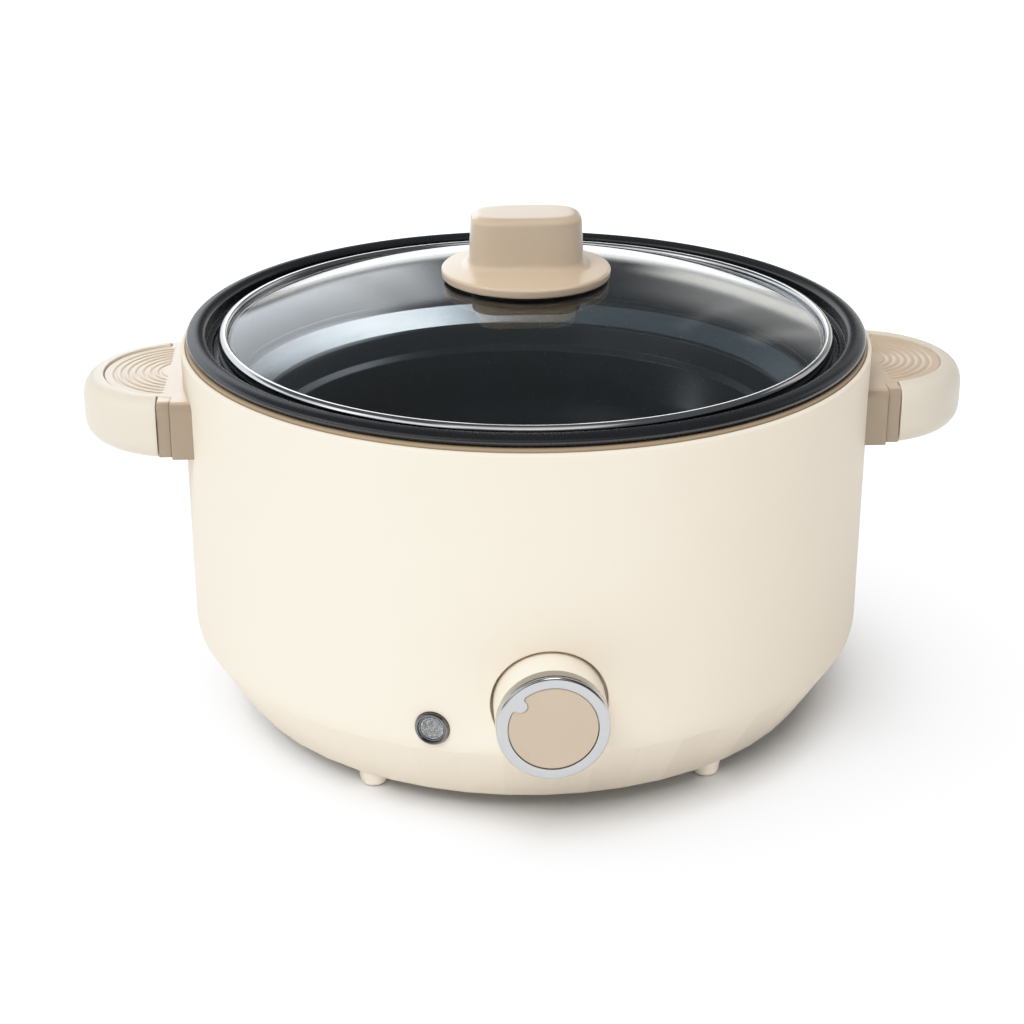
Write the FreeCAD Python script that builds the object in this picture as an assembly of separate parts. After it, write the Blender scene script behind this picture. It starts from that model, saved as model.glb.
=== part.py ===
import FreeCAD, Part
import os, math
from FreeCAD import Vector as V

os.makedirs("parts", exist_ok=True)

# Electric hot pot with a lift-off glass lid.  Millimetres, +Z up.
# Origin: on the pot's axis, in the plane that the feet stand on.  Front (control knob) is -Y, handles are on X.

# ---------------------------------------------------------------- driving dimensions
FOOT_H = 7.4            # feet below the base
FOOT_PCR = 112.5        # pitch radius of the feet
FOOT_AZ = 35.0          # foot azimuth either side of the front and of the rear
SHELL_R_TOP = 137.4     # outside radius of the wall at the lip
SHELL_R_BOT = 137.5     # outside radius of the wall, produced to the crease
SHELL_T = 2.4           # wall thickness
LIP_Z = 151.8           # top of the shell's lip
CREASE_Z = 34.2         # height where wall and band would meet
BAND_R = 120.3          # band radius at the base edge
BAND_Z = 8.2            # height of the base edge
CORNER_R = 15.8         # rounding below the wall
CORNER_DEG = 18.0       # slope at which the rounding meets the faceted band
FACETS = 50             # flat facets round the band
FACET_TOP_R, FACET_TOP_Z = 136.6, 34.1   # facet planes: distance from the axis at the crease
BEAD_R = 135.0          # outside radius of the pan's rolled rim
BEAD_Z = 155.0          # centre height of the rolled rim
BEAD_A, BEAD_B = 3.8, 2.1   # half width and half height of the rolled rim
SEAT_Z = 148.8          # ledge that the lid lies on
PAN_T = 2.4             # pan wall thickness
PAN_FLOOR_Z = 62.0      # inside floor of the pan
PAN_UNDER_Z = 58.0      # underside of the pan's floor
BAND_RO, BAND_RI = 122.5, 118.7   # lid band radii
BAND_TOP_Z = 155.3
GLASS_R = 340.5         # outside radius of the dome's sphere
GLASS_APEX = 175.8
GLASS_T = 4.0
GLASS_EDGE_R = 121.7
FLANGE_R = 33.7         # lid knob flange
FLANGE_Z0, FLANGE_Z1 = 175.1, 178.5
GRIP_L, GRIP_W, GRIP_C = 45.0, 27.6, 12.0
BLOCK_Z = 160.0         # underside of the block below the glass
GRIP_TOP = 201.0
KNOB_Z = 55.2           # axis height of the control knob
KNOB_R = 20.3
KNOB_FACE_Y = -155.6
KNOB_RING_Y = -149.6
KNOB_BACK_Y = -132.0
WELL_R = 21.4
WELL_Y = -131.0
POINTER_DEG = -50.0     # nib position at rest, clockwise from straight up seen from the front
LAMP_AZ = -17.9         # lamp azimuth from the front, towards +X
LAMP_Z = 43.7
LAMP_R = 6.45
HANDLE_CX = 136.5       # centre of the handle's half disc
HANDLE_R = 41.0
INSET_R = 32.3
HANDLE_TOP, HANDLE_BOT = 138.6, 114.0
GROOVES, GROOVE_R0, GROOVE_STEP, GROOVE_W = 7, 10.3, 2.95, 1.5   # concentric finger grooves on each handle's top
BLOCK_X = 139.8         # end of the proud side block
COVER_X = 145.2         # start of the cream cover
STRAP_Z0, STRAP_Z1 = 37.0, 39.0
SHIELD_Z = 40.0
BOSS_PCR = 110.0
INLET_Z = 48.0

TAU = 2 * math.pi


# ---------------------------------------------------------------- helpers
def prof(pts):
    """Closed (r, z) outline in the XZ plane; each point is (r, z) or (r, z, corner radius)."""
    n = len(pts)
    seg = []
    for i in range(n):
        p = V(pts[i][0], 0, pts[i][1])
        rad = pts[i][2] if len(pts[i]) > 2 else 0
        if rad <= 0:
            seg.append((p, None, p))
            continue
        a = V(pts[i - 1][0], 0, pts[i - 1][1])
        b = V(pts[(i + 1) % n][0], 0, pts[(i + 1) % n][1])
        u = (a - p).normalize()
        v = (b - p).normalize()
        ang = u.getAngle(v)
        if abs(math.pi - ang) < 1e-6:
            seg.append((p, None, p))
            continue
        d = rad / math.tan(ang / 2)
        s, e = p + u * d, p + v * d
        c = p + (u + v).normalize() * (rad / math.sin(ang / 2))
        m = c + (p - c).normalize() * rad
        seg.append((s, m, e))
    edges = []
    for i in range(n):
        s, m, e = seg[i]
        if m is not None:
            edges.append(Part.Arc(s, m, e).toShape())
        nxt = seg[(i + 1) % n][0]
        if (nxt - e).Length > 1e-6:
            edges.append(Part.makeLine(e, nxt))
    return Part.Face(Part.Wire(Part.__sortEdges__(edges)))


def revolve(pts, angle=360):
    f = prof(pts) if isinstance(pts, list) else pts
    return f.revolve(V(0, 0, 0), V(0, 0, 1), angle)


def cyl(r, p, d, h):
    """Cylinder of radius r from point p along direction d."""
    return Part.makeCylinder(r, h, V(*p), V(*d))


def ring(ro, ri, p, d, h):
    return cyl(ro, p, d, h).cut(cyl(ri, p, d, h))


def box(x0, x1, y0, y1, z0, z1):
    return Part.makeBox(x1 - x0, y1 - y0, z1 - z0, V(x0, y0, z0))


def rrect(l, w, c, z, h, cx=0, cy=0):
    """Upright prism with a rounded-rectangle plan."""
    b = box(cx - l / 2, cx + l / 2, cy - w / 2, cy + w / 2, z, z + h)
    ed = [e for e in b.Edges if abs(e.Vertexes[0].Z - e.Vertexes[-1].Z) > h / 2]
    return b.makeFillet(c, ed)


def spin(s, deg, c=(0, 0, 0), ax=(0, 0, 1)):
    t = s.copy()
    t.rotate(V(*c), V(*ax), deg)
    return t


def move(s, x, y, z):
    t = s.copy()
    t.translate(V(x, y, z))
    return t


def hexnut(af, h, bore, p):
    pts = [V(p[0] + af / math.sqrt(3) * math.cos(math.radians(60 * k)), p[1] + af / math.sqrt(3) * math.sin(math.radians(60 * k)), p[2]) for k in range(6)]
    w = Part.makePolygon(pts + [pts[0]])
    return Part.Face(w).extrude(V(0, 0, h)).cut(cyl(bore, p, (0, 0, 1), h))


def panscrew(p, d, shank_r, shank_l, head_r, head_h):
    """Pan-head screw: head underside at p, shank runs along d."""
    d = V(*d).normalize()
    pr = prof([(0, -head_h), (head_r * 0.72, -head_h, 0.5), (head_r, -head_h * 0.45, 0.4), (head_r, 0), (shank_r, 0),
               (shank_r, shank_l - shank_r * 0.8), (shank_r * 0.35, shank_l), (0, shank_l)])
    s = pr.revolve(V(0, 0, 0), V(0, 0, 1), 360)
    slot = box(-head_r * 0.62, head_r * 0.62, -0.45, 0.45, -head_h - 1, -head_h + 0.9)
    s = s.cut(slot).cut(spin(slot, 90))
    s.Placement = FreeCAD.Placement(V(*p), FreeCAD.Rotation(V(0, 0, 1), d))
    return s


def tube(pts, r, bend):
    """Round wire along straight runs joined by tangent arcs."""
    P = [V(*p) for p in pts]
    edges = []
    cur = P[0]
    for i in range(1, len(P) - 1):
        a, p, b = P[i - 1], P[i], P[i + 1]
        u, v = (a - p).normalize(), (b - p).normalize()
        ang = u.getAngle(v)
        d = min(bend / math.tan(ang / 2), 0.45 * (a - p).Length, 0.45 * (b - p).Length)
        rad = d * math.tan(ang / 2)
        s, e = p + u * d, p + v * d
        c = p + (u + v).normalize() * (rad / math.sin(ang / 2))
        m = c + (p - c).normalize() * rad
        edges.append(Part.makeLine(cur, s))
        edges.append(Part.Arc(s, m, e).toShape())
        cur = e
    edges.append(Part.makeLine(cur, P[-1]))
    path = Part.Wire(edges)
    c = Part.Wire(Part.makeCircle(r, P[0], P[1] - P[0]))
    s = path.makePipeShell([c], True, False)
    return s if s.Volume > 0 else s.reversed()


def group(items):
    return Part.makeCompound(items)


out = {}


# ---------------------------------------------------------------- outer shell
bd = V(BAND_R - SHELL_R_BOT, 0, BAND_Z - CREASE_Z).normalize()      # direction down the band
nin = V(bd.z, 0, -bd.x)                                             # normal, into the pot
pc = V(SHELL_R_BOT, 0, CREASE_Z) + nin * SHELL_T
k = (SHELL_R_BOT - SHELL_T - pc.x) / bd.x
zc_in = pc.z + k * bd.z
r_low = 117.9
k2 = (r_low - pc.x) / bd.x
z_low = pc.z + k2 * bd.z
turn = math.radians(CORNER_DEG)
corner_z = FACET_TOP_Z + CORNER_R * (math.sin(turn) - math.tan(turn / 2))
shell_out = [(SHELL_R_TOP, LIP_Z, 1.3), (SHELL_R_BOT, corner_z, CORNER_R), (SHELL_R_BOT - math.tan(turn) * (corner_z - FOOT_H), FOOT_H)]
# the band is cut from the turned blank by a ring of planes
slope = (FACET_TOP_R - BAND_R) / (FACET_TOP_Z - BAND_Z)
def facet_ring(z):
    rv = (BAND_R + slope * (z - BAND_Z)) / math.cos(math.pi / FACETS)
    pts = [V(rv * math.sin(TAU * q / FACETS), -rv * math.cos(TAU * q / FACETS), z) for q in range(FACETS)]
    return Part.makePolygon(pts + [pts[0]])
facets = Part.makeLoft([facet_ring(0.0), facet_ring(160.0)], True, True)
shell_pts = [(135.7, LIP_Z, 0.3)] + shell_out + [
    (r_low, FOOT_H), (r_low, z_low), (SHELL_R_BOT - SHELL_T, zc_in, CORNER_R - SHELL_T), (SHELL_R_TOP - SHELL_T, 147.2, 0.8),
    (134.4, 148.2), (134.4, 149.4), (135.7, 149.4)]
shell = revolve(shell_pts)
full = revolve([(0, LIP_Z)] + shell_out + [(0, FOOT_H)])
base_edge = revolve([(0, FOOT_H), (BAND_R - 1.3, FOOT_H), (BAND_R + 22.7, FOOT_H + 16.8), (BAND_R + 22.7, LIP_Z + 1), (0, LIP_Z + 1)])
full = full.common(facets).common(base_edge)
shell = shell.common(facets).common(base_edge)

# well for the control knob
well = cyl(WELL_R + SHELL_T, (0, WELL_Y + SHELL_T, KNOB_Z), (0, -1, 0), 20).common(full)
shell = shell.fuse(well)
shell = shell.cut(cyl(WELL_R, (0, WELL_Y, KNOB_Z), (0, -1, 0), 20))
shell = shell.cut(cyl(5.1, (0, WELL_Y + 10, KNOB_Z), (0, -1, 0), 20))

# indicator hole with a spot-faced seat for the bezel
la = math.radians(LAMP_AZ)
LD = V(math.sin(la), -math.cos(la), 0)
lamp_seat = V(LD.x * 136.6, LD.y * 136.6, LAMP_Z)
shell = shell.cut(Part.makeCylinder(4.6, 20, V(LD.x * 128, LD.y * 128, LAMP_Z), LD))
shell = shell.cut(Part.makeCylinder(LAMP_R + 0.1, 20, lamp_seat, LD))

# flat pad and opening for the appliance inlet
pad = rrect(54, 29, 5, 0, 11.4)
pad.rotate(V(0, 0, 0), V(1, 0, 0), -90)
pad.translate(V(0, 127.4, INLET_Z))
inner_cut = revolve([(0, LIP_Z), (133.2, LIP_Z), (133.2, FOOT_H), (0, FOOT_H)])
shell = shell.fuse(pad.cut(inner_cut))
shell = shell.cut(box(-14.2, 14.2, 110, 150, INLET_Z - 10.2, INLET_Z + 10.2))
for sx in (-20, 20):
    shell = shell.cut(cyl(1.5, (sx, 120, INLET_Z), (0, 1, 0), 30))

# bosses: four for the base cover, two for the clamp strap
base_az = [62, 118, 242, 298]
for az in base_az:
    a = math.radians(az)
    d = V(math.sin(a), -math.cos(a), 0)
    b = cyl(4.2, (d.x * BOSS_PCR, d.y * BOSS_PCR, 13.8), (0, 0, 1), 22)
    rib = box(BOSS_PCR - 2, 136, -1.3, 1.3, 13.8, 35.8)
    rib = spin(rib, math.degrees(math.atan2(d.y, d.x)))
    shell = shell.fuse(b.fuse(rib).common(full))
    shell = shell.cut(cyl(1.55, (d.x * BOSS_PCR, d.y * BOSS_PCR, 13.8), (0, 0, 1), 16))
for sx in (-1, 1):
    b = cyl(5, (sx * 112, 0, STRAP_Z1), (0, 0, 1), 24)
    rib = box(112, 136.3, -9, 9, STRAP_Z1, STRAP_Z1 + 24).cut(box(112, 130.5, -6.5, 6.5, STRAP_Z1, STRAP_Z1 + 24))
    rib = rib.fuse(box(112, 136.3, -1.5, 1.5, STRAP_Z1, STRAP_Z1 + 24))
    rib = rib.cut(box(100, 118, -20, -1.6, 0, 100)).cut(box(100, 118, 1.6, 20, 0, 100))
    if sx < 0:
        rib = spin(rib, 180)
    shell = shell.fuse(b.fuse(rib).common(full))
    shell = shell.cut(cyl(1.9, (sx * 112, 0, STRAP_Z1), (0, 0, 1), 18))

# handle screw holes
HS_Y, HS_Z = 24.0, 127.0
for sx in (-1, 1):
    for sy in (-1, 1):
        shell = shell.cut(cyl(2.1, (sx * 125, sy * HS_Y, HS_Z), (sx, 0, 0), 14))
shell = shell.removeSplitter()
out["outer_shell"] = shell

# ---------------------------------------------------------------- beige seal ring under the pan's rim
out["rim_seal_ring"] = revolve([(129.4, 152.9, 0.5), (135.5, 152.9, 0.9), (135.5, 149.4), (134.3, 149.4), (134.3, 143.0, 0.6),
                                (132.0, 143.0, 0.6), (132.0, 149.0, 1.0), (129.4, 149.6, 0.4)])

# ---------------------------------------------------------------- inner pan
pan_in = [(127.5, 151.0, 0.8), (124.9, 150.8, 0.4), (124.7, SEAT_Z, 0.6), (117.4, SEAT_Z, 1.6), (116.4, 129.6, 2.0), (106.8, 120.6, 2.2), (104.6, 112.0, 1.4), (102.3, 109.6, 1.6), (98.5, PAN_FLOOR_Z, 24.0)]
pan_out = [(101.4, PAN_UNDER_Z, 26.4), (107.6, 108.0, 4.0), (110.4, 116.8, 4.0), (118.9, 125.2, 4.0), (119.6, 146.2, 1.0), (126.6, 146.2, 2.0), (129.0, 149.6, 1.0), (129.2, BEAD_Z)]
pan_body = revolve([(0, PAN_FLOOR_Z), (0, PAN_UNDER_Z)] + pan_out + [(127.6, BEAD_Z)] + pan_in)
ell = Part.Ellipse(V(BEAD_R - BEAD_A, 0, BEAD_Z), BEAD_A, BEAD_B)
# rolled rim: an elliptical section swept round the axis
pl = FreeCAD.Placement(V(BEAD_R - BEAD_A, 0, BEAD_Z), FreeCAD.Rotation(V(1, 0, 0), 90))
ew = Part.Wire(Part.Ellipse(V(0, 0, 0), BEAD_A, BEAD_B).toShape())
ew.Placement = pl
bead = Part.Face(ew).revolve(V(0, 0, 0), V(0, 0, 1), 360)
pan = pan_body.fuse(bead).removeSplitter()
out["inner_pan"] = pan

# ---------------------------------------------------------------- base cover, feet and screws
cover = revolve([(0, FOOT_H), (0, 9.8), (116.2, 9.8), (116.2, 11.6), (117.6, 11.6), (117.6, FOOT_H, 0.4)])
cover = cover.cut(ring(96, 92.5, (0, 0, FOOT_H), (0, 0, 1), 0.9))
boss_xy = []
for az in base_az:
    a = math.radians(az)
    bx, by = BOSS_PCR * math.sin(a), -BOSS_PCR * math.cos(a)
    boss_xy.append((bx, by))
    cover = cover.fuse(cyl(5.6, (bx, by, 9.0), (0, 0, 1), 4.8))
foot_xy = []
for az in (FOOT_AZ, -FOOT_AZ, 180 - FOOT_AZ, 180 + FOOT_AZ):
    a = math.radians(az)
    foot_xy.append((FOOT_PCR * math.sin(a), -FOOT_PCR * math.cos(a)))
for bx, by in boss_xy:
    cover = cover.cut(cyl(4.6, (bx, by, 5), (0, 0, 1), 7.2)).cut(cyl(1.8, (bx, by, 5), (0, 0, 1), 12))
for fx, fy in foot_xy:
    cover = cover.cut(cyl(2.5, (fx, fy, 5), (0, 0, 1), 12))
for i in range(-4, 5):
    hl = 26 - abs(i) * 3.2
    s = box(-1.5, 1.5, -hl, hl, 5, 12).fuse(cyl(1.5, (0, hl, 5), (0, 0, 1), 7)).fuse(cyl(1.5, (0, -hl, 5), (0, 0, 1), 7))
    cover = cover.cut(move(s, i * 8.0, 0, 0))
for rr in (60, 80):
    cover = cover.fuse(ring(rr + 0.8, rr - 0.8, (0, 0, 9.8), (0, 0, 1), 2.4))
cover = cover.removeSplitter()
out["base_cover"] = cover

foot = revolve([(0, 0.0), (4.9, 0.0, 1.8), (5.9, FOOT_H), (2.5, FOOT_H), (2.5, 9.8), (3.3, 9.8), (3.3, 10.4), (1.9, 12.6, 0.4), (0, 12.6)])
out["feet"] = group([move(foot, fx, fy, 0) for fx, fy in foot_xy])
out["base_screws"] = group([panscrew((bx, by, 12.2), (0, 0, 1), 1.5, 13.5, 3.6, 2.2) for bx, by in boss_xy])

# ---------------------------------------------------------------- heater group under the pan
ELEM_R, ELEM_r, ELEM_Z = 62.0, 3.5, 51.6
hp = revolve([(0, 53.2), (0, PAN_UNDER_Z), (73.5, PAN_UNDER_Z, 0.3), (73.5, 55.4, 1.2), (69.0, 53.2, 1.0), (69.0, 48.4, 0.8), (55.0, 48.4, 0.8), (55.0, 53.2, 1.0)])
gap_a = 13.0            # half angle of the element's open end, at the rear
tor = Part.makeTorus(ELEM_R, ELEM_r, V(0, 0, ELEM_Z), V(0, 0, 1))
hp = hp.cut(tor)
# legs pass down at the rear, so the plate's groove lips are relieved there
ly = ELEM_R * math.cos(math.radians(gap_a))
hp = hp.cut(box(-28, 28, ly - 17, ly + 9.2, 40, ELEM_Z + 3.7))
STUD_X = 34.0
for sx in (-1, 1):
    hp = hp.cut(cyl(2.8, (sx * STUD_X, 0, 40), (0, 0, 1), 30))
out["heater_plate"] = hp.removeSplitter()

# tubular element: open ring with two legs that turn down at the rear
pth = []
ga = math.radians(gap_a)
c0 = V(ELEM_R * math.sin(ga), ELEM_R * math.cos(ga), ELEM_Z)
c1 = V(-c0.x, c0.y, ELEM_Z)
arc = Part.Arc(c0, V(0, -ELEM_R, ELEM_Z), c1)
tdir0 = V(-math.cos(ga), math.sin(ga), 0)          # leaving the ring at c0, towards the gap
tdir1 = V(math.cos(ga), math.sin(ga), 0)
BR = 6.0
def leg(c, td):
    cen = c + V(0, 0, -BR)
    mid = cen + (td * math.sin(math.pi / 4) + V(0, 0, 1) * math.cos(math.pi / 4)) * BR
    end = cen + td * BR
    return Part.Arc(c, mid, end).toShape(), end
a0, e0 = leg(c0, tdir0)
a1, e1 = leg(c1, tdir1)
LEG_Z = 31.0
l0 = Part.makeLine(V(e0.x, e0.y, LEG_Z), e0)
l1 = Part.makeLine(e1, V(e1.x, e1.y, LEG_Z))
w = Part.Wire([l0, Part.Arc(e0, (c0 + V(0, 0, -BR)) + (tdir0 * math.sin(math.pi / 4) + V(0, 0, 1) * math.cos(math.pi / 4)) * BR, c0).toShape(), arc.toShape(), a1, l1])
cw = Part.Wire(Part.makeCircle(ELEM_r, V(e0.x, e0.y, LEG_Z), V(0, 0, 1)))
elem = w.makePipeShell([cw], True, False)
if elem.Volume < 0:
    elem = elem.reversed()
out["heating_element"] = elem
LEGS = [(e0.x, e0.y), (e1.x, e1.y)]
out["heater_terminals"] = group([cyl(2.6, (x, y, LEG_Z - 2.0), (0, 0, 1), 2.0).fuse(box(x - 3.2, x + 3.2, y - 0.4, y + 0.4, LEG_Z - 11, LEG_Z - 2)) for x, y in LEGS])

shield = revolve([(0, SHIELD_Z), (0, SHIELD_Z + 0.6), (86.0, SHIELD_Z + 0.6, 2.4), (88.0, 54.0, 0.1), (92.0, 54.0), (92.0, 53.4), (88.6, 53.4, 0.5), (86.6, SHIELD_Z, 3.0)])
for x, y in LEGS:
    shield = shield.cut(cyl(4.6, (x, y, 30), (0, 0, 1), 15))
for sx in (-1, 1):
    shield = shield.cut(cyl(2.7, (sx * STUD_X, 0, 30), (0, 0, 1), 15))
shield = shield.cut(box(-12, 12, -42, -20, 30, 45))
out["heat_shield"] = shield

strap = box(-118, 118, -12, 12, STRAP_Z0, STRAP_Z1)
strap = strap.fuse(box(-60, 60, -12, -10.8, STRAP_Z0 - 4, STRAP_Z0)).fuse(box(-60, 60, 10.8, 12, STRAP_Z0 - 4, STRAP_Z0))
for sx in (-1, 1):
    strap = strap.cut(cyl(2.2, (sx * 112, 0, 30), (0, 0, 1), 20)).cut(cyl(2.7, (sx * STUD_X, 0, 30), (0, 0, 1), 20))
strap = strap.removeSplitter()
out["clamp_strap"] = strap
out["strap_screws"] = group([panscrew((sx * 112, 0, STRAP_Z0), (0, 0, 1), 1.85, 16, 4.0, 2.6) for sx in (-1, 1)])
out["pan_studs"] = group([cyl(2.5, (sx * STUD_X, 0, 29.5), (0, 0, 1), PAN_UNDER_Z - 29.5) for sx in (-1, 1)])
out["stud_spacers"] = group([ring(5.0, 2.6, (sx * STUD_X, 0, SHIELD_Z + 0.6), (0, 0, 1), 53.2 - SHIELD_Z - 0.6) for sx in (-1, 1)]
    + [ring(6.0, 2.6, (sx * STUD_X, 0, STRAP_Z1), (0, 0, 1), SHIELD_Z - STRAP_Z1) for sx in (-1, 1)])
out["stud_nuts"] = group([hexnut(8.0, 4.0, 2.5, (sx * STUD_X, 0, STRAP_Z0 - 4.0)) for sx in (-1, 1)])

# snap-disc thermal cut-out held against the heater plate
cut_body = cyl(8.2, (0, -31, 44.2), (0, 0, 1), 7.0).fuse(cyl(8.8, (0, -31, 51.2), (0, 0, 1), 2.0))
for sx in (-1, 1):
    cut_body = cut_body.fuse(box(sx * 4.6 - 0.4, sx * 4.6 + 0.4, -34.1, -27.9, 36.0, 44.2))
out["thermal_cutout"] = cut_body

# ---------------------------------------------------------------- rotary switch, its nut and the control shaft
sw = box(-16, 16, -126.2, -106, KNOB_Z - 16, KNOB_Z + 16)
sw = sw.makeFillet(2.0, [e for e in sw.Edges if abs(e.Vertexes[0].Y - e.Vertexes[-1].Y) > 10])
sw = sw.fuse(cyl(10.5, (0, -126.2, KNOB_Z), (0, -1, 0), 2.4))
sw = sw.fuse(cyl(5.0, (0, -128.6, KNOB_Z), (0, -1, 0), 9.0 - 1.0))
sw = sw.cut(cyl(3.05, (0, -110, KNOB_Z), (0, -1, 0), 40))
for sx in (-8, 8):
    sw = sw.fuse(box(sx - 3.1, sx + 3.1, -114.4, -113.6, KNOB_Z - 24, KNOB_Z - 16))
out["control_switch"] = sw.removeSplitter()
nutw = Part.makePolygon([V(7.2 * math.cos(math.radians(60 * q)), 0, 7.2 * math.sin(math.radians(60 * q))) for q in range(7)])
nut = Part.Face(nutw).extrude(V(0, -2.6, 0))
nut.translate(V(0, WELL_Y, KNOB_Z))
out["switch_nut"] = nut.cut(cyl(5.0, (0, -120, KNOB_Z), (0, -1, 0), 20))

shaft = cyl(3.0, (0, -112, KNOB_Z), (0, -1, 0), 34)
flat = box(-5, 5, -150, -138.2, KNOB_Z + 1.6, KNOB_Z + 5)
out["control_shaft"] = shaft.cut(flat)

# ---------------------------------------------------------------- control knob: cream skirt, chrome ring with nib, beige face
def yrev(pts):
    """Revolve an (r, depth) outline about the knob's axis; depth is measured towards the front."""
    s = prof([(p[0], p[1]) + tuple(p[2:]) for p in pts]).revolve(V(0, 0, 0), V(0, 0, 1), 360)
    s.rotate(V(0, 0, 0), V(1, 0, 0), 90)
    s.translate(V(0, 0, KNOB_Z))
    return s
kb, kr, kf = -KNOB_BACK_Y, -KNOB_RING_Y, -KNOB_FACE_Y
skirt = yrev([(0, 142.4), (0, 152.4), (KNOB_R - 4.2, 152.4), (KNOB_R - 4.2, kr), (KNOB_R, kr, 0.5), (KNOB_R, kb, 0.6), (KNOB_R - 2.2, kb), (KNOB_R - 2.2, 147.2, 1.5), (6.2, 147.2, 1.0), (6.2, 140.0), (3.05, 140.0), (3.05, 142.4)])
skirt_core = cyl(3.05, (0, -138, KNOB_Z), (0, -1, 0), 8.0).cut(box(-5, 5, -150, -138.2, KNOB_Z + 1.65, KNOB_Z + 5))
skirt = skirt.cut(skirt_core)
hub = cyl(6.2, (0, -140, KNOB_Z), (0, -1, 0), 7.5).cut(skirt_core)
skirt = skirt.fuse(hub).removeSplitter()
out["knob_skirt"] = skirt
kring = yrev([(KNOB_R - 4.2, kr), (KNOB_R - 4.2, kf - 0.5, 0.25), (KNOB_R - 3.6, kf, 0.3), (KNOB_R - 1.0, kf, 0.5), (KNOB_R, kf - 1.1, 0.6), (KNOB_R, kr, 0.25)])
pa = math.radians(POINTER_DEG)
nib_c = V(math.sin(pa) * 15.6, 0, math.cos(pa) * 15.6 + KNOB_Z)
nib = cyl(2.2, (nib_c.x, -153.4, nib_c.z), (0, -1, 0), kf - 153.4 - 0.15)
kring = kring.fuse(nib).removeSplitter()
out["knob_ring"] = kring
face = yrev([(0, 152.4), (0, kf - 0.6), (KNOB_R - 4.25, kf - 0.6, 0.3), (KNOB_R - 4.25, 152.4)])
face = face.cut(cyl(2.3, (nib_c.x, -152.9, nib_c.z), (0, -1, 0), 6))
out["knob_face"] = face

# ---------------------------------------------------------------- indicator lamp
def radial(pts, z=LAMP_Z):
    """Revolve an (r, distance from pot axis) outline about the lamp's axis."""
    s = prof(pts).revolve(V(0, 0, 0), V(0, 0, 1), 360)
    s.Placement = FreeCAD.Placement(V(0, 0, z), FreeCAD.Rotation(V(0, 0, 1), LD))
    return s
out["indicator_bezel"] = radial([(4.45, 136.9), (4.45, 138.6, 0.2), (4.9, 139.2, 0.3), (6.0, 139.2, 0.5), (LAMP_R, 138.4, 0.3), (LAMP_R, 136.6), (4.6, 136.6), (4.6, 124.0), (3.6, 124.0), (3.6, 136.9)])
out["indicator_lens"] = radial([(0, 137.0), (0, 138.35), (3.0, 138.2, 1.0), (4.4, 137.7, 0.2), (4.4, 137.0)])
out["indicator_lamp"] = radial([(0, 122.0), (0, 134.6), (1.4, 134.2, 0.6), (2.9, 131.5, 1.0), (2.9, 122.0)])
clip = radial([(4.65, 133.6), (4.65, 134.0), (7.6, 133.1), (7.6, 132.6)])
out["indicator_clip"] = clip

# ---------------------------------------------------------------- appliance inlet at the rear
fl = rrect(50, 24.5, 4, 0, 2.6)
fl.rotate(V(0, 0, 0), V(1, 0, 0), -90)
fl.translate(V(0, 138.8, INLET_Z))
bod = box(-14, 14, 112, 139, INLET_Z - 10, INLET_Z + 10)
bod = bod.makeFillet(1.5, [e for e in bod.Edges if abs(e.Vertexes[0].Y - e.Vertexes[-1].Y) > 10])
inlet = fl.fuse(bod)
def hexcav(y0, y1, w, h, c):
    z = INLET_Z
    pts = [(-w / 2, z - h / 2), (w / 2, z - h / 2), (w / 2, z + h / 2 - c), (w / 2 - c, z + h / 2), (-w / 2 + c, z + h / 2), (-w / 2, z + h / 2 - c)]
    pw = Part.makePolygon([V(a, y0, b) for a, b in pts + [pts[0]]])
    return Part.Face(pw).extrude(V(0, y1 - y0, 0))
inlet = inlet.cut(hexcav(124.6, 145, 24.4, 16.8, 5.0))
PINS = [(-7.0, -2.0), (0.0, 2.0), (7.0, -2.0)]
for px, pz in PINS:
    inlet = inlet.cut(box(px - 1.0, px + 1.0, 100, 130, INLET_Z + pz - 2.0, INLET_Z + pz + 2.0))
for sx in (-20, 20):
    inlet = inlet.cut(cyl(1.7, (sx, 130, INLET_Z), (0, 1, 0), 20))
out["inlet_housing"] = inlet.removeSplitter()
out["inlet_pins"] = group([box(px - 1.0, px + 1.0, 104.0, 138.0, INLET_Z + pz - 2.0, INLET_Z + pz + 2.0) for px, pz in PINS])
out["inlet_screws"] = group([panscrew((sx, 141.4, INLET_Z), (0, -1, 0), 1.45, 11, 3.0, 1.8) for sx in (-20, 20)])

# ---------------------------------------------------------------- wiring
WR = 1.3
tx = [p[0] for p in LEGS]
ty = LEGS[0][1]
WZ = 19.0
out["wire_live"] = tube([(-7.0, 104.0, 46.0), (-7.0, 95.0, 46.0), (-7.0, 91.0, 24.0), (-16.0, 72.0, 16.5), (-16.0, -80.0, 16.5), (-8.0, -114.0, 18.0), (-8.0, -114.0, KNOB_Z - 24)], WR, 7)
out["wire_switched"] = tube([(8.0, -114.0, KNOB_Z - 24), (8.0, -114.0, WZ), (6.0, -60.0, WZ), (4.6, -31.0, WZ), (4.6, -31.0, 36.0)], WR, 7)
lx = min(tx)
out["wire_heater"] = tube([(-4.6, -31.0, 36.0), (-4.6, -31.0, 25.0), (-20.0, -14.0, 24.5), (-20.0, 34.0, 24.5), (lx, ty - 8, 14.6), (lx, ty, 14.6), (lx, ty, LEG_Z - 11)], WR, 5)
nx = max(tx)
fz = 16.0
out["thermal_fuse"] = cyl(2.9, (nx + 16, ty + 3, fz), (0, 1, 0), 20)
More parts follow.
